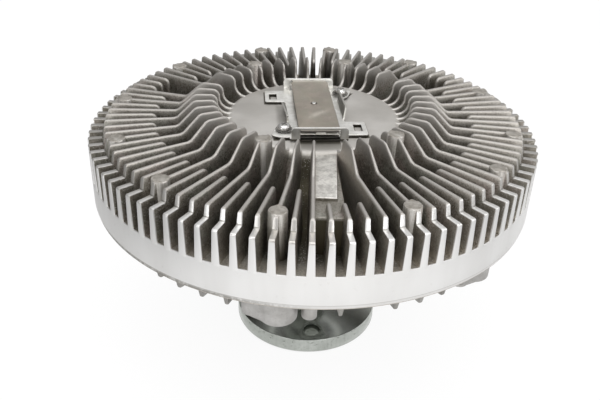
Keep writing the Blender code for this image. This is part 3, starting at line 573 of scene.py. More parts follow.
def castPost(name, top):
    # paler than the fins, with pour streaks down its side and a rough top
    look = castLook
    paint = CastPaint(name)
    streak = paint.noise(0.55, 3.0, 0.6, stretch=(1.0, 1.0, 0.06), seed=31.0)
    blotch = paint.noise(0.35, 3.0, 0.6, seed=37.0)
    upper = paint.height.ramp(top - 0.9, top - 0.3)
    paint.layer(0.35 + streak.ramp(0.35, 0.65) * 0.6, "plate")
    # painted shade and dirt: darker towards its foot
    paint.layer(paint.height.ramp(150.0, 126.0), "stainAndShade")
    rough = paint.mix(blotch.ramp(0.30, 0.70), look["sideDull"], look["top"])
    paint.colour = paint.mix(upper, paint.colour, rough)
    marks = blotch * upper * 3.0 + paint.speck * 0.8 + streak * 0.4
    return paint.finished(0.46 + paint.speck * 0.2, marks, 0.05)


def castPad(name):
    # mottled and pale on the high pad's top, and darker with painted shade below the low pad's top
    paint = CastPaint(name)
    overLow = paint.height - pads["low"]["top"]
    overHigh = paint.height - pads["high"]["top"]
    blotch = paint.noise(0.16, 5.0, 0.7, seed=41.0)
    # painted shade below the low pad's top
    darkened = paint.mix(overLow.ramp(-2.2, -0.2) * 0.75, castLook["stainAndShade"], paint.colour)
    paint.start(blotch.ramp(0.30, 0.62), "plateDull", "pad")
    paint.layer(paint.speck.ramp(0.50, 0.70) * 0.25, "sideDull")
    mottled = overLow.ramp(-0.5, -0.2) * overLow.ramp(0.3, 0.1) * 0.12
    paint.colour = paint.mix(mottled.larger(overHigh.ramp(-0.6, -0.2)), darkened, paint.colour)
    return paint.finished(0.42 + blotch * 0.2, paint.speck * 0.8 + blotch * 0.8, 0.04)


def finThickness(z):
    return cover["tip"] - cover["draft"] * (z - cover["step"])


def finOutline(kind):
    # the cast fin, before the lathe takes its outer end down
    c = cover
    outline = [(c["castEnd"], c["root"]), (c["castEnd"], c["step"])]
    if kind == "long":
        corner, fillet, edge = c["crownCorner"], c["footFillet"], c["plateEdge"]
        outline += [(c["slopeFoot"] + 1.2, c["step"]), (c["slopeFoot"] - 0.9, c["step"] + 0.8),
                    (c["slopeHead"] + 0.9, c["crown"] - 0.8), (c["slopeHead"] - 1.4, c["crown"])]
        outline += arcPoints((c["crownEnd"] + corner, c["crown"] - corner), corner, 90, 180, 6)
        outline += arcPoints((c["crownEnd"] - fillet, c["plate"] + fillet), fillet, 0, -82, 6)
        return outline + [(edge, c["plate"] - 0.05), (edge - 1.0, c["plate"] - 1.5), (edge - 1.0, c["root"])]
    end = c["windowEnd"] if kind == "window" else c["shortEnd"]
    corner = c["shortCorner"]
    outline += arcPoints((end + corner, c["step"] - corner), corner, 90, 180, 5)
    return outline + [(end - 1.0, c["root"])]


def latheTool():
    # what is turned away: outside diameter, ledge and riser, with softened corners
    c = cover
    outer, step, ledge, brow = c["radius"], c["stepRadius"], c["ledge"], c["step"]
    beyond = outer + 10.0
    points = [(beyond, c["root"] - 2.0), (outer, c["root"] - 2.0)]
    points += arcPoints((outer - 1.0, ledge - 1.0), 1.0, 0, 90, 4)
    points += [(step + 0.5, ledge), (step - 0.05, ledge + 0.4)]
    points += arcPoints((step - 2.9, brow - 1.9), 1.9, 12, 88, 4)
    points += [(step - 4.4, brow + 1.5), (beyond, brow + 1.5)]
    return standPiece("lathe", points, 4.0)


def buildFin(kind):
    # a full round runs along the cast ridge, and the turned faces keep narrow edges
    c = cover
    half = 1.5
    fin = standPiece("fin", finOutline(kind), half)

    def ridge(a, b):
        low = max(a.z, b.z) < c["root"] + 1.0
        foot = max(a.x, b.x) < c["plateEdge"] + 2.6 and kind == "long"
        return abs(a.y - b.y) < 1.0 and not low and not foot and min(a.x, b.x) < c["castEnd"] - 1.0

    bevelEdges(fin, ridge, c["ridge"], 4)
    for vertex in fin.data.vertices:
        vertex.co.y *= finThickness(vertex.co.z / mm) / (2 * half)
    cutWith(fin, latheTool())
    return bevelSharp(fin, c["edge"], 2)


def coverBody():
    # hub plate, groove floor, band, rolled lip, then inside it the rim's seat, the chamber and the dome
    c = cover
    outer, plate, foot, top = c["radius"], c["plate"], c["rimFoot"], c["chamberTop"]
    outline = [(c["pinHole"], plate), (c["plateEdge"], plate), (53.0, plate - 0.3), (54.4, plate - 1.1),
               (55.6, plate - 2.6), (56.4, plate - 4.4), (58.0, 148.0), (60.5, 142.0), (64.5, 136.6),
               (70.0, 133.6), (78.0, 132.4), (110.0, 130.4), (outer - 0.12, c["floor"]),
               (outer, c["floor"] - 0.12)]
    outline += [(outer, foot + 3.8), (outer - 0.4, foot + 3.1), (outer - 0.45, foot + 1.9),
                (outer - 0.7, foot + 1.0), (outer - 1.35, foot + 0.3), (outer - 2.35, foot),
                (c["lipBore"] + 0.5, foot), (c["lipBore"], foot + 0.5), (c["lipBore"], c["lipTop"]),
                (c["rimBore"], c["lipTop"]),
                (c["rimBore"], c["shoulder"]), (c["chamberRadius"], c["shoulder"]), (c["chamberRadius"], top)]
    for rib in c["ribs"]:
        inner = rib - c["ribWidth"]
        outline += [(rib, top), (rib, c["ribFoot"]), (inner, c["ribFoot"]), (inner, top)]
    outline += [(c["seatRadius"], top), (c["seatRadius"], c["seatTop"]), (c["domeRadius"], c["seatTop"]),
                (c["domeRadius"], c["domeTop"]), (7.5, c["domeTop"]), (7.0, c["pinBoss"]),
                (c["pinHole"], c["pinBoss"])]
    return turnPiece("cover", outline, 180)


def coverPost(number, shape):
    # the rim of its top is uneven, as it comes out of the mould
    top = shape["top"]
    place = polar(shape["place"], cover["first"] + finPitch * number)
    post = roundPost("post", place, shape["radius"] + 0.5, cover["root"], top, 36, shape["radius"])
    bevelEdges(post, lambda a, b: min(a.z, b.z) > top - 0.1, 0.5, 3)
    for vertex in post.data.vertices:
        turn = atan2(vertex.co.y / mm - place[1], vertex.co.x / mm - place[0])
        if vertex.co.z / mm > top - 1.0:
            wave = 0.5 + 0.28 * sin(3 * turn + number) + 0.22 * sin(7 * turn + 2 * number)
            vertex.co.z -= wave * 0.8 * mm
    return post


def returnPad(shape):
    # foot and end lean out a little, as the mould's draft leaves them
    near, start, end, root = pads["near"], shape["start"], shape["end"], cover["root"]
    farStart, farEnd = shape["far"]
    corners = [(start, near), (end, near), (end, farEnd), (start, farStart)]
    pad = extrudePiece("pad", [(x, y, root) for x, y in corners], (0, 0, shape["top"] - root))
    for vertex in pad.data.vertices:
        if vertex.co.z / mm < root + 1.0:
            if vertex.co.y / mm > near + 1.0:
                vertex.co.y += pads["lean"] * mm
            if vertex.co.x / mm > start + 1.0:
                vertex.co.x += pads["lean"] * mm
    return bevelEdges(pad, lambda a, b: min(a.z, b.z) > shape["top"] - 0.1, pads["edge"], 3)


def buildCover():
    c = cover
    padMaterial, finMaterial = castPad("castPad"), castCover("castFins", fins=True)
    body = wear(coverBody(), castCover("castCover"))
    sources = {kind: wear(buildFin(kind), finMaterial) for kind in ("long", "short", "window")}
    extras = []
    for number in range(c["fins"]):
        kind = "long" if number % 2 == 0 else "short"
        if number % c["windowStep"] in c["windowFins"]:
            kind = "window"
        extras.append(copyTurned(sources[kind], c["first"] + finPitch * number))
    removePieces(sources.values())
    for name, shape, numbers in (("castOuterPost", c["outerPost"], c["outerPosts"]),
                                 ("castInnerPost", c["innerPost"], c["innerPosts"])):
        postMaterial = castPost(name, shape["top"])
        extras += [wear(coverPost(number, shape), postMaterial) for number in numbers]
    extras += [wear(moveTo(returnPad(pads[key]), c["first"]), padMaterial) for key in ("low", "high")]
    return joinPieces(body, extras)


finish(buildCover(), None, "housing", ["front_cover"])
print("front cover built")


# rear housing: turned plate and hub, fins with round tips, fan bosses with their lobes

rear = {
    "fins": 54, "first": -128.6, "face": 108.2, "foot": 97.2, "end": 133.0, "shortEnd": 116.0,
    "besideBoss": 108.0, "hubFoot": 72.2, "hubRadius": 38.4, "seat": 31.3, "seatFoot": 76.0, "seatTop": 92.6,
    "clipRadius": 33.4, "sealSeat": 26.0, "throat": 22.3, "throatTop": 104.8, "back": 111.8,
    "rim": 136.0, "rimFoot": 109.6, "rimTop": 113.2, "groove": (130.9, 134.0, 111.2),
    "bosses": 6, "bossAzimuth": -97.0, "bossPlace": 121.4, "bossRadius": 10.5, "bossFoot": 89.2,
    "hole": 3.4, "holeTop": 103.0, "lobe": (105.0, 126.4, -20.0), "lobeCorner": 5.0,
    "columnTurn": 8.0, "columnRadius": 4.2,
}

rearLook = dict(castLook, pale=(0.54, 0.53, 0.515), dull=(0.37, 0.36, 0.345))


def rearCast(name, fins=False):
    # cast, but for the machined ends of the fan bosses
    paint = Paint(name, rearLook)
    speck = paint.noise(1.1, 3.0, 0.6, seed=3.0)
    grain = paint.noise(2.6, 3.0, 0.7, seed=7.0)
    faces = paint.places()[2].ramp(rear["bossFoot"] + 0.2, rear["bossFoot"] + 0.05)
    paint.start(paint.noise(0.05, 4.0, 0.6, seed=4.0).ramp(0.35, 0.68), "dull", "pale")
    paint.layer(speck.ramp(0.56, 0.74) * 0.25, "stainAndShade")
    # the fins are darker all over, in specks
    if fins:
        paint.layer((0.2 + speck * 0.8).clipped() * 0.5, "stainAndShade")
    paint.layer(faces, "machined")
    roughness = (0.42 + speck * 0.16) * (1.0 - faces) + 0.3 * faces
    return paint.finished(roughness, (speck * 0.7 + grain * 0.5) * (1.0 - faces * 0.8), rearLook["grain"])


def rearBody():
    r = rear
    hub, foot, face, seat, back = r["hubRadius"], r["hubFoot"], r["face"], r["seat"], r["back"]
    rim, rimTop = r["rim"], r["rimTop"]
    grooveIn, grooveOut, grooveFoot = r["groove"]
    outline = [(seat, foot + 2.0), (seat, foot), (hub - 1.2, foot), (hub - 0.4, foot + 0.3),
               (hub, foot + 1.2), (hub + 0.8, 98.0), (hub + 2.6, 104.0), (46.0, face - 0.8), (52.0, face)]
    outline += [(131.5, face), (133.0, r["rimFoot"]), (rim, r["rimFoot"]), (rim, rimTop), (grooveOut, rimTop),
                (grooveOut, grooveFoot), (grooveIn, grooveFoot), (grooveIn, rimTop), (127.2, rimTop),
                (126.6, back)]
    outline += [(r["sealSeat"], back), (r["sealSeat"], r["throatTop"]), (r["throat"], r["throatTop"]),
                (r["throat"], r["seatTop"]), (seat, r["seatTop"]), (seat, r["seatFoot"]),
                (r["clipRadius"], r["seatFoot"]), (r["clipRadius"], foot + 2.0)]
    return turnPiece("rearHousing", outline, 144)


def rearFin(end):
    face, foot = rear["face"], rear["foot"]
    half, tip, draft = 1.5, 1.5, 0.25
    outline = [(end, face + 1.0), (end - 1.4, foot + 0.8), (end - 2.4, foot), (76.0, foot - 5.0),
               (52.0, foot - 14.0), (36.0, foot - 14.6), (36.0, face + 1.0)]
    fin = standPiece("rearFin", outline, half)
    for vertex in fin.data.vertices:
        vertex.co.y *= (tip + draft * max(vertex.co.z / mm - foot, 0.0)) / (2 * half)

    def ridge(a, b):
        along = abs(a.y - b.y) < 0.6 and a.y * b.y > 0
        return along and min(a.z, b.z) < face and min(a.x, b.x) > 36.5

    return bevelEdges(fin, ridge, 0.5, 3)


def fanBoss(azimuth):
    # a round boss and the lobe beside it, with a blind hole from its end
    r = rear
    place, radius, foot, face = r["bossPlace"], r["bossRadius"], r["bossFoot"], r["face"]
    boss = roundPost("boss", (place, 0), radius, foot, face + 1.0, 48, radius + 0.3)
    corner = r["lobeCorner"]
    inner, outer, side = r["lobe"]
    points = [(inner, 0.0), (inner, side)] + arcPoints((outer - corner, side + corner), corner, -90, 0, 8)
    points += [(place + radius - 0.9, -4.0), (place + radius - 0.3, 0.0)]
    lobe = extrudePiece("lobe", [(x, y, foot + 1.0) for x, y in points], (0, 0, face - foot))
    boss = cutWith(boss, lobe, "UNION")
    cutWith(boss, roundPost("hole", (place, 0), r["hole"], foot - 2.0, r["holeTop"], 24))

    def endRim(a, b):
        return max(abs(a.z - foot), abs(b.z - foot)) < 0.05 and hypot(a.x - place, a.y) > radius - 1.5

    return moveTo(bevelEdges(boss, endRim, 0.5, 2), azimuth)


def bossColumn(azimuth):
    r = rear
    place = polar(r["bossPlace"] + 1.0, azimuth + r["columnTurn"])
    column = roundPost("column", place, r["columnRadius"], r["bossFoot"] + 1.6, r["face"] + 1.0, 24)
    return bevelEdges(column, lambda a, b: max(a.z, b.z) < r["bossFoot"] + 1.8, 0.5, 3)


def buildRear():
    # of the nine fins in each sixth, one is shorter and three stop beside the boss
    r = rear
    rearMaterial, rearFinMaterial = rearCast("castRear"), rearCast("castRearFins", fins=True)
    body = wear(rearBody(), rearMaterial)
    extras = []
    sources = {end: wear(rearFin(end), rearFinMaterial) for end in (r["end"], r["shortEnd"], r["besideBoss"])}
    for number in range(r["fins"]):
        place = number % (r["fins"] // r["bosses"])
        end = r["end"]
        if place == 8:
            end = r["shortEnd"]
        elif place in (4, 5, 6):
            end = r["besideBoss"]
        extras.append(copyTurned(sources[end], r["first"] + 360.0 / r["fins"] * number))
    removePieces(sources.values())
    for number in range(r["bosses"]):
        azimuth = r["bossAzimuth"] + 360.0 / r["bosses"] * number
        extras.append(wear(fanBoss(azimuth), rearMaterial))
        extras.append(wear(bossColumn(azimuth), rearMaterial))
    return joinPieces(body, extras)


finish(buildRear(), None, "housing", ["rear_housing"])
print("rear housing built")


# flanged shaft

shaft = {"flange": 49.7, "thick": 10.4, "recess": 17.5, "recessDepth": 3.0, "neck": 15.0, "neckFillet": 4.0,
         "bolts": 4, "boltCircle": 38.5, "hole": 5.5, "first": -82.8, "collar": 18.5, "seatFoot": 76.0,
         "seat": 15.0, "sealLand": 14.0, "rotorSeat": 11.0, "rotorFoot": 104.8, "top": 115.8,
         "screwHole": 3.6}

turnedLooks = {
    "turnedShaft": {"colour": (0.54, 0.56, 0.53), "shade": (0.38, 0.40, 0.37), "roughness": 0.13,
                    "scuffAndShade": (0.10, 0.11, 0.09)},
    "rotorAluminium": {"colour": (0.66, 0.66, 0.65), "shade": (0.50, 0.50, 0.49), "roughness": 0.3},
}


def boltHoleDistance(paint):
    # how far a point is from the middle of the nearest bolt hole, in millimetres
    along, across = [axis.fromMiddle() for axis in turnedAxes(paint, shaft["first"])]
    return ((along.larger(across) - shaft["boltCircle"]) ** 2.0 + along.smaller(across) ** 2.0) ** 0.5


def turnedMetal(name):
    # lathe marks, and where the look has a scuff colour, a flange with a scuffed rim, painted shade on the
    # rim's left side, and bolt holes whose walls are darkened as painted shade and oil, with oil round them
    look = turnedLooks[name]
    paint = Paint(name, look)
    places = paint.places()
    x, height, radius = places[0], places[2], places[3]
    rings = paint.lines(radius, 1.6)
    cloud = paint.noise(0.07, 4.0, 0.6)
    paint.start((cloud * 0.7 + rings * 0.4).ramp(0.35, 0.85), "shade", "colour")
    roughness = look["roughness"] + cloud * 0.12
    if "scuffAndShade" in look:
        # painted shade: the flange's rim is darker on its left
        edge = radius.ramp(shaft["flange"] - 1.1, shaft["flange"] - 0.3)
        paint.layer(edge * x.ramp(0.0, -45.0) * 0.5, "shade")
        scuffAndShade = paint.noise(0.35, 4.0, 0.7, stretch=(1.0, 1.0, 1.6), seed=43.0).ramp(0.54, 0.66)
        # painted shade and oil: the holes' walls are dark, with oil round them
        fromHole = boltHoleDistance(paint) - shaft["hole"]
        darkened = fromHole.ramp(0.25, 0.05) * 0.85 + fromHole.ramp(2.7, 0.3) * 0.5
        paint.layer((darkened * (0.6 + scuffAndShade * 0.4)).clipped(), "scuffAndShade")
        rim = edge * (0.25 + height.ramp(2.0, 9.0) * 0.75)
        paint.layer(scuffAndShade * rim * 0.7, "scuffAndShade")
        roughness = roughness + scuffAndShade * rim * 0.2
    return paint.finished(roughness, rings + paint.lines(height, 2.2) * 0.6, 0.006, 0.8)


def buildShaft():
    s = shaft
    flange, thick, recess, neck, fillet = s["flange"], s["thick"], s["recess"], s["neck"], s["neckFillet"]
    depth, collar, seat, land = s["recessDepth"], s["collar"], s["seat"], s["sealLand"]
    outline = [(0.0, depth), (recess - 0.3, depth), (recess, depth - 0.4), (recess, 0.3), (recess + 0.4, 0.0),
               (flange - 0.8, 0.0), (flange - 0.2, 0.25), (flange, 0.8), (flange, thick - 0.7),
               (flange - 0.2, thick - 0.2), (flange - 0.8, thick)]
    outline += arcPoints((neck + fillet, thick + fillet), fillet, -90, -180, 6)
    outline += [(neck, 69.5), (collar, 71.5), (collar, s["seatFoot"]), (seat, s["seatFoot"]), (seat, 93.0),
                (land, 94.0), (land, s["rotorFoot"]), (s["rotorSeat"], s["rotorFoot"]),
                (s["rotorSeat"], s["top"]), (s["screwHole"], s["top"]), (s["screwHole"], 98.0), (0.0, 96.0)]
    piece = turnPiece("shaft", outline, 96, close=False)
    holes = [polar(s["boltCircle"], s["first"] + 360.0 / s["bolts"] * i) for i in range(s["bolts"])]
    for place in holes:
        cutWith(piece, roundPost("boltHole", place, s["hole"], -2.0, thick + 2.0, 32))

    def holeRim(a, b):
        flat = abs(a.z - b.z) < 0.01 and min(abs(a.z), abs(a.z - thick)) < 0.01
        reach = [max(hypot(a.x - x, a.y - y), hypot(b.x - x, b.y - y)) for x, y in holes]
        return flat and min(reach) < s["hole"] + 0.05

    return bevelEdges(piece, holeRim, 0.3, 2)


finish(buildShaft(), turnedMetal("turnedShaft"), "shaft", ["flange_shaft"])
print("shaft built")


# bimetal control on the hub plate, drawn square and then turned to its place

control = {
    "foot": 155.5, "top": 157.0, "rim": 163.9, "wall": 39.8, "sheet": 1.5, "wallLeft": -16.5,
    "wallRight": 17.3, "wallCorner": 2.6, "window": (-11.3, 12.4, 156.2, 162.66), "shelf": (159.3, 160.2),
    "tab": (-2.0, 3.8, 160.4, 161.3), "curl": (1.0, 0.45), "wing": 16.6, "wingSheet": 1.2,
    "slot": (25.0, 24.6, 2.5, 4.9), "bore": 4.0, "screwHole": 2.2, "screw": (20.3, 28.5),
    "tools": (150.0, 170.0),
    "stripWidth": 24.3, "stripLength": 72.6, "stripTop": 162.6, "stripThick": 1.2, "stripCorner": 0.6,
    "tongue": 11.2, "tongueEnd": 41.4, "stripHole": 2.1,
    "washer": {"teeth": 14, "root": 4.1, "tip": 5.3, "bore": 2.3, "foot": 157.3, "thick": 0.8,
               "tools": (150.0, 162.0)},
    "head": {"radius": 4.1, "foot": 158.4, "rim": 159.1, "dome": 2.2, "cross": 2.3, "crossFoot": 160.2},
}


bracketLook = {"colour": (0.96, 0.95, 0.92), "shade": (0.76, 0.75, 0.71), "end": (0.20, 0.195, 0.18),
               "wing": (0.30, 0.29, 0.26), "paintedShade": (0.05, 0.045, 0.035)}


def bracketFinish(name):
    # pale on top, with painted shade: darker on its end walls' faces and its wings, on its cut edges, along
    # the right wing's bend and under the strip
    c = control
    paint = Paint(name, bracketLook)
    along, across = turnedAxes(paint, cover["controlTurn"])
    height = paint.places()[2]
    overTop = height - c["top"]
    fine = paint.noise(1.8, 3.0, 0.6, stretch=(1.0, 0.12, 1.0), seed=5.0)
    paint.start(paint.noise(0.20, 4.0, 0.6).ramp(0.3, 0.7), "shade", "colour")
    face = c["wall"] + c["sheet"] / 2
    endFaceShade = across.fromMiddle().ramp(face - 0.3, face - 0.1) * height.ramp(c["rim"] - 0.1, c["rim"] - 0.4)
    left, right, low, high = c["tab"]
    tab = patch(along, height, (left - 0.1, right + 0.1, low - 0.2, high + 0.1), 0.1)
    paint.layer(endFaceShade * (1.0 - tab) * 0.75, "end")
    wingShade = along.fromMiddle().ramp(c["wing"] - 0.7, c["wing"] - 0.3) * across.fromMiddle().ramp(22.5, 21.5)
    paint.layer(wingShade * overTop.ramp(0.3, 1.0) * 0.72, "wing")
    creaseShade = patch(along, across, (13.4, 14.1, -27.0, 2.0), 0.25) * overTop.ramp(0.8, 0.3) * 0.6
    stripShadow = patch(along, across, (-11.6, 12.2, -39.0, 39.0)) * overTop.ramp(1.2, 0.3)
    # painted shade on the cut edges below the top, under the strip and along the bend
    paint.layer(overTop.ramp(-0.2, -0.45).larger(stripShadow).larger(creaseShade) * 0.9, "paintedShade")
    return paint.finished(0.34 + fine * 0.16, fine, 0.004, 0.8)


bimetalLook = {"dark": (0.36, 0.32, 0.275), "light": (0.46, 0.405, 0.345), "rubbed": (0.60, 0.55, 0.48),
               "tint": (0.37, 0.355, 0.29), "smudge": (0.66, 0.61, 0.54), "edge": (0.66, 0.64, 0.60),
               "end": (0.17, 0.16, 0.15)}


def bimetalFinish(name):
    # rolled strip with rubbed places, a pale slanting smudge in front, bright edges and dark ends
    paint = Paint(name, bimetalLook)
    along, across = turnedAxes(paint, cover["controlTurn"])
    rolled = paint.noise(0.5, 4.0, 0.6, stretch=(1.0, 0.08, 1.0), seed=2.0)
    rub = paint.noise(0.16, 4.0, 0.7, stretch=(1.0, 0.5, 1.0), seed=21.0)
    paint.start(paint.noise(0.06, 3.0, 0.6, seed=9.0).ramp(0.3, 0.7), "dark", "light")
    paint.layer(rub.ramp(0.58, 0.72) * 0.35, "rubbed")
    paint.layer(paint.noise(0.11, 2.0, 0.5, seed=27.0).ramp(0.42, 0.62) * 0.45, "tint")
    smudge = (across + 17.5 - along * 0.8).fromMiddle().ramp(5.5, 0.0)
    smudge = smudge * patch(along, across, (-6.0, 8.0, -27.0, -7.0), 5.0)
    paint.layer((smudge * (rub.ramp(0.30, 0.65) + 0.15)).clipped() * 0.8, "smudge")
    edge, end = control["stripLength"] / 2, control["tongueEnd"]
    paint.layer(across.fromMiddle().ramp(edge + 0.1, edge + 1.1) * 0.5, "edge")
    paint.layer(across.fromMiddle().ramp(end - 0.2, end - 0.05), "end")
    return paint.finished(0.36 + rolled * 0.16, rolled, 0.008, 0.8)


def drill(piece, place, radius, sides):
    return cutWith(piece, roundPost("bore", place, radius, *control["tools"], sides))


def bracketBase():
    c = control
    half = [(-17.3, -40.4), (17.3, -40.4), (17.3, -35.2), (28.6, -35.2)]
    half += arcPoints((28.9, -33.8), 1.4, -90, 0, 3)
    half += arcPoints((28.9, -17.4), 1.4, 0, 90, 3)
    half += [(18.0, -16.0), (18.0, 19.0), (21.5, 21.5), (24.6, 24.2), (26.2, 28.0), (27.9, 33.6)]
    half += [(27.4, 35.4), (23.2, 38.0), (17.3, 38.0)]
    points = half + [(-x, -y) for x, y in half]
    base = extrudePiece("bracket", [(x, y, c["foot"]) for x, y in points], (0, 0, c["top"] - c["foot"]))
    drill(base, (0, 0), c["bore"], 32)
    x, y = c["screw"]
    slotX, slotY, wide, deep = c["slot"]
    low, high = c["tools"]
    for hand in (-1, 1):
        drill(base, (hand * x, hand * y), c["screwHole"], 24)
        cutWith(base, box("slot", (hand * slotX - wide, -hand * slotY - deep, low),
                          (hand * slotX + wide, -hand * slotY + deep, high)))
    left, right = c["window"][:2]
    cutWith(base, box("mouth", (left, -45.0, low), (right, -37.6, high)))
    cutWith(base, box("mouth", (-right, 37.6, low), (-left, 45.0, high)))
    return bevelSharp(base, 0.3, 2)


def bracketWall():
    # the front wall: round shoulders, a window for the strip's tongue, a shelf and a tab inside it
    c = control
    left, right, low, high = c["window"]
    wallLeft, wallRight, corner, rim = c["wallLeft"], c["wallRight"], c["wallCorner"], c["rim"]
    y = -c["wall"] - c["sheet"] / 2
    points = [(wallLeft, c["foot"]), (wallRight, c["foot"])]
    points += arcPoints((wallRight - corner, rim - corner), corner, 0, 90, 6)
    points += arcPoints((wallLeft + corner, rim - corner), corner, 90, 180, 6)
    wall = extrudePiece("wall", [(x, y, z) for x, z in points], (0, c["sheet"], 0))
    cutWith(wall, box("window", (left, y - 2.0, low), (right, y + 4.0, high)))
    bevelSharp(wall, 0.28, 2)
    shelfLow, shelfHigh = c["shelf"]
    tabLeft, tabRight, tabLow, tabHigh = c["tab"]
    shelf = box("shelf", (left - 0.4, y + 0.3, shelfLow), (right + 0.4, y + 3.4, shelfHigh))
    tab = box("tab", (tabLeft, y + 0.1, tabLow - 0.3), (tabRight, y + 0.8, tabHigh))
    extras = [bevelSharp(shelf, 0.15, 1), bevelSharp(tab, 0.12, 1)]
    curlRadius, curlBore = c["curl"]
    curl = roundPost("curl", (0, 0), curlRadius, -0.7, 0.7, 20)
    cutWith(curl, roundPost("bore", (0, 0), curlBore, -2.0, 2.0, 16))
    curl.data.transform(Matrix.Translation(Vector((right - 0.2, y + 0.7, shelfHigh + 0.5)) * mm)
                        @ Matrix.Rotation(radians(90), 4, "X"))
    return [wall, curl] + extras


def bracketGusset():
    # a side wing that leans outwards, most at its front
    c = control
    points = [(-13.0, c["foot"] + 0.2), (-12.6, c["top"] + 0.6), (-4.5, 161.2), (-3.0, 161.9),
              (20.4, c["rim"] - 0.2), (21.6, c["rim"] - 0.6), (21.4, 162.2), (16.6, 160.2), (16.2, 158.4),
              (16.2, c["foot"] + 0.2)]
    wing = extrudePiece("wing", [(c["wing"], y, z) for y, z in points], (c["wingSheet"], 0, 0))
    for vertex in wing.data.vertices:
        y, z = vertex.co.y / mm, vertex.co.z / mm
        lean = 0.55 - 0.46 * min(max((y + 4.5) / 26.0, 0.0), 1.0)
        vertex.co.x += lean * max(z - c["top"] + 0.6, 0.0) * mm
    return bevelSharp(wing, 0.2, 2, 25)


def buildBracket():
    extras = bracketWall() + [bracketGusset()]
    extras += [copyTurned(extra, 180.0) for extra in extras]
    return moveTo(joinPieces(bracketBase(), extras), cover["controlTurn"])


def buildStrip():
    # one half is drawn and the other is the same half turned round
    c = control
    x, y, cut = c["stripWidth"] / 2, c["stripLength"] / 2, c["stripCorner"]
    tongue, end, low = c["tongue"], c["tongueEnd"], c["stripTop"] - c["stripThick"]
    half = [(-x, -y + cut), (-x + cut, -y), (-tongue, -y), (-tongue, -end), (tongue, -end), (tongue, -y),
            (x - cut, -y), (x, -y + cut)]
    points = half + [(-px, -py) for px, py in half]
    strip = extrudePiece("strip", [(px, py, low) for px, py in points], (0, 0, c["stripThick"]))
    drill(strip, (0, 0), c["stripHole"], 32)
    return moveTo(bevelSharp(strip, 0.14, 2), cover["controlTurn"])


def buildPin():
    # it stands on the valve arm with a collar, and its head shows in the middle of the strip
    outline = [(0.0, 129.2), (2.2, 129.2), (2.6, 129.7), (2.6, 130.6), (1.5, 131.0), (1.5, 162.5),
               (1.38, 162.9), (1.05, 163.1), (0.0, 163.1)]
    return turnPiece("pin", outline, 36, close=False)


def lockWasher():
    # toothed ring under a screw head
    w = control["washer"]
    tooth = [(-7.5, w["root"]), (-5.5, w["tip"]), (4.0, w["tip"]), (6.0, w["root"])]
    points = []
    for number in range(w["teeth"]):
        middle = 360.0 / w["teeth"] * number
        points += [(*polar(radius, middle + turn), w["foot"]) for turn, radius in tooth]
    washer = extrudePiece("washer", points, (0, 0, w["thick"]))
    bore = roundPost("bore", (0, 0), w["bore"], *w["tools"], 24)
    return bevelSharp(cutWith(washer, bore), 0.1, 1)


def panScrew():
    # domed head with a cross recess
    h = control["head"]
    radius, rim, cross = h["radius"], h["rim"], h["cross"]
    outline = [(0.0, 148.0), (1.8, 148.8), (1.8, h["foot"]), (radius - 0.2, h["foot"]),
               (radius, h["foot"] + 0.2), (radius, rim)]
    for angle in (15, 30, 45, 60, 75):
        outline.append((radius * cos(radians(angle)) ** 0.8, rim + h["dome"] * sin(radians(angle))))
    screw = turnPiece("screw", outline + [(0.0, rim + h["dome"])], 48, close=False)
    for turn in (20.0, 110.0):
        slot = box("cross", (-cross, -0.5, h["crossFoot"]), (cross, 0.5, 163.0))
        cutWith(screw, moveTo(slot, turn))
    return screw


finish(buildBracket(), bracketFinish("zincBracket"), "housing", ["bimetal_bracket"])
finish(buildStrip(), bimetalFinish("bimetal"), "housing", ["bimetal_strip"])
finish(buildPin(), steels["screwSteel"], "pin", ["control_pin"])
for number, hand in ((1, -1), (2, 1)):
    spot = Matrix.Rotation(radians(cover["controlTurn"]), 2) @ Vector(control["screw"]) * hand
    place = (spot.x, spot.y, 0)
    washer = moveTo(lockWasher(), 0.0, place)
    screw = moveTo(panScrew(), 40.0 * number, place)
    finish(washer, steels["washerSteel"], "housing", [f"bracket_washer_{number}"])
    finish(screw, steels["screwSteel"], "housing", [f"bracket_screw_{number}"])
print("bimetal control built")


# the other CAD nodes keep their shapes and get their finishes

rubberLook = {"dark": (0.018, 0.018, 0.018), "light": (0.035, 0.034, 0.033)}


def rubberFinish(name):
    paint = Paint(name, rubberLook, metallic=0.0, specular=0.4)
    cloud = paint.noise(0.5, 4.0, 0.6)
    paint.start(cloud, "dark", "light")
    return paint.finished(0.55 + cloud * 0.2, cloud, 0.01, 0.6)


rubberMaterial = rubberFinish("blackRubber")
finishes = {"bearing_inner_race": steels["bearingSteel"], "bearing_outer_race": steels["bearingSteel"],
            "bearing_cage": steels["cageSteel"], "bearing_circlip": steels["springSteel"],
            "shaft_seal": rubberMaterial, "housing_seal_ring": rubberMaterial,
            "pin_seal_ring": rubberMaterial, "drive_rotor": turnedMetal("rotorAluminium"),
            "rotor_washer": steels["zincSheet"], "valve_plate": steels["zincSheet"],
            "valve_arm": steels["springSteel"]}
for name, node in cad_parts.items():
    ball = name.startswith("bearing_ball")
    wear(node, finishes.get(name, steels["bearingSteel" if ball else "screwSteel"]))
print("inner pieces finished")


# floor, world, lamps and camera, all lengths in metres

studio = {"white": 1.0, "floor": (0.93, 0.93, 0.93), "underPartShadow": (0.13, 0.13, 0.12), "floorSize": 12.0,
          "floorHeight": -0.0002, "floorShine": 0.80, "floorGlow": 0.9}


class WorldPaint(Paint):
    def __init__(self, name):
        self.world = bpy.data.worlds.new(name)
        self.world.use_nodes = True
        self.tree = self.world.node_tree
        self.tree.nodes.clear()
        self.place = self.node("ShaderNodeTexCoord", {}, {}, "Generated")


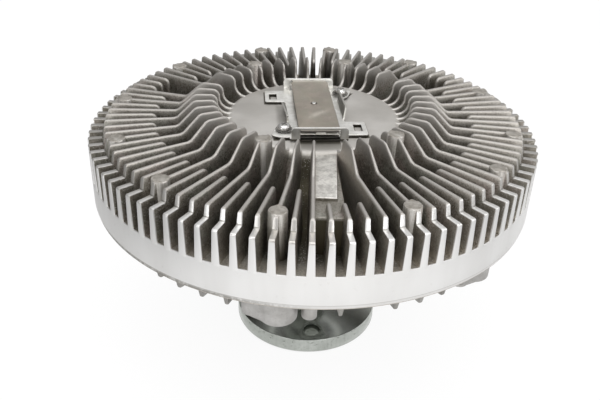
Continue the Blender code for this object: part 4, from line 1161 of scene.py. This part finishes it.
def buildFloor():
    # bright in reflections and for the camera, but dimmer at its sides and far in front, with a painted
    # shadow under the part
    selectOnly()
    bpy.ops.mesh.primitive_plane_add(size=studio["floorSize"], location=(0, 0, studio["floorHeight"]))
    floor = bpy.context.active_object
    floor.name = "floor"
    paint = Paint("floorWhite", studio, metallic=0.0, specular=0.1)
    paint.set("Roughness", 0.9)
    x, y = paint.axes()[:2]
    # painted shadow on the floor under the part
    beyond = ((x * x + y * y) ** 0.5).ramp(0.048, 0.05)
    paint.set("Base Color", paint.mix(beyond, studio["underPartShadow"], studio["floor"]))
    left = x.ramp(-0.02, -0.36) * 0.68
    right = x.ramp(0.06, 0.40) * 0.40
    front = y.ramp(-0.46, -0.66) * x.fromMiddle().ramp(0.32, 0.08) * 0.62
    level = (1.0 - left) * (1.0 - right) * (1.0 - front)
    seen = paint.node("ShaderNodeLightPath", {}, {}, "Is Camera Ray")
    facing = paint.node("ShaderNodeNewGeometry", {}, {}, "Backfacing")
    shade = paint.node("ShaderNodeCombineColor", {}, {0: level, 1: level, 2: level})
    shine = paint.node("ShaderNodeEmission", {}, {"Color": shade, "Strength": 1.0})
    glow = paint.node("ShaderNodeEmission", {}, {"Color": (1.0, 1.0, 1.0), "Strength": 1.0})
    clear = paint.node("ShaderNodeBsdfTransparent", {}, {})
    white = Wire(paint, paint.shader.outputs[0])
    lit = paint.node("ShaderNodeMixShader", {}, {0: seen * beyond * studio["floorGlow"], 1: white, 2: glow})
    reflected = seen.beside("Is Glossy Ray") * studio["floorShine"]
    lit = paint.node("ShaderNodeMixShader", {}, {0: reflected, 1: lit, 2: shine})
    shown = paint.node("ShaderNodeMixShader", {}, {0: facing, 1: lit, 2: clear})
    output = paint.tree.nodes["Material Output"]
    paint.tree.links.new(shown.socket, output.inputs["Surface"])
    floor.data.materials.append(paint.material)


def buildWorld():
    # in reflections a bright ceiling, dimmer sides and a dark place behind the camera, and plain white else
    paint = WorldPaint("studioWorld")
    bpy.context.scene.world = paint.world
    x, y, z = paint.axes()
    top = z.ramp(0.62, 0.92)
    left = x.ramp(-0.10, -0.70) * 0.45
    right = x.ramp(0.20, 0.80) * 0.08
    dark = y.ramp(-0.84, -0.95) * z.ramp(0.36, 0.12) * 0.60
    level = (1.0 - left) * (1.0 - right) * (1.0 - dark) * 0.80 * (1.0 - top) + top * 1.05
    seen = paint.node("ShaderNodeLightPath", {}, {}, "Is Camera Ray")
    plain = (1.0 - seen.beside("Is Glossy Ray")).larger(seen.larger(seen.beside("Is Transmission Ray")))
    level = paint.mixValue(plain, level * 0.8, studio["white"])
    back = paint.node("ShaderNodeBackground", {}, {"Color": (1.0, 1.0, 1.0), "Strength": level})
    output = paint.tree.nodes.new("ShaderNodeOutputWorld")
    paint.tree.links.new(back.socket, output.inputs["Surface"])


lamps = {"target": (0, 0, 0.12),
         "frontLeft": {"place": (-0.95, -1.35, 0.30), "size": (0.9, 0.9), "power": 6.0},
         "frontRight": {"place": (0.85, -1.45, 0.30), "size": (0.7, 0.9), "power": 6.0},
         "right": {"place": (1.5, -0.2, 0.7), "size": (0.9, 0.9), "power": 4.0},
         "top": {"place": (0.1, -0.5, 1.8), "size": (2.4, 2.4), "power": 22.0}}


def addLamp(name):
    lamp = lamps[name]
    light = bpy.data.lights.new(name, "AREA")
    light.shape = "RECTANGLE"
    light.size, light.size_y = lamp["size"]
    light.energy = lamp["power"]
    item = bpy.data.objects.new(name, light)
    bpy.context.scene.collection.objects.link(item)
    item.location = lamp["place"]
    item.rotation_mode = "QUATERNION"
    item.rotation_quaternion = (Vector(lamps["target"]) - Vector(lamp["place"])).to_track_quat("-Z", "Y")


camera = {"place": (0.0, -0.431279, 0.342102), "lens": 43.913,
          "right": (0.999057, 0.032420, 0.028870), "up": (-0.041251, 0.501787, 0.864007),
          "back": (0.013525, -0.864383, 0.502652)}


def buildCamera():
    data = bpy.data.cameras.new("camera")
    data.sensor_width = 36.0
    data.lens = camera["lens"]
    data.clip_start = 0.01
    data.clip_end = 50.0
    item = bpy.data.objects.new("camera", data)
    bpy.context.scene.collection.objects.link(item)
    turn = Matrix([camera["right"], camera["up"], camera["back"]]).transposed()
    item.location = camera["place"]
    item.rotation_mode = "QUATERNION"
    item.rotation_quaternion = turn.to_quaternion()
    bpy.context.scene.camera = item


buildFloor()
buildWorld()
for name in ("frontLeft", "frontRight", "right", "top"):
    addLamp(name)
buildCamera()
bpy.context.scene.view_settings.view_transform = "Standard"
print("studio ready")
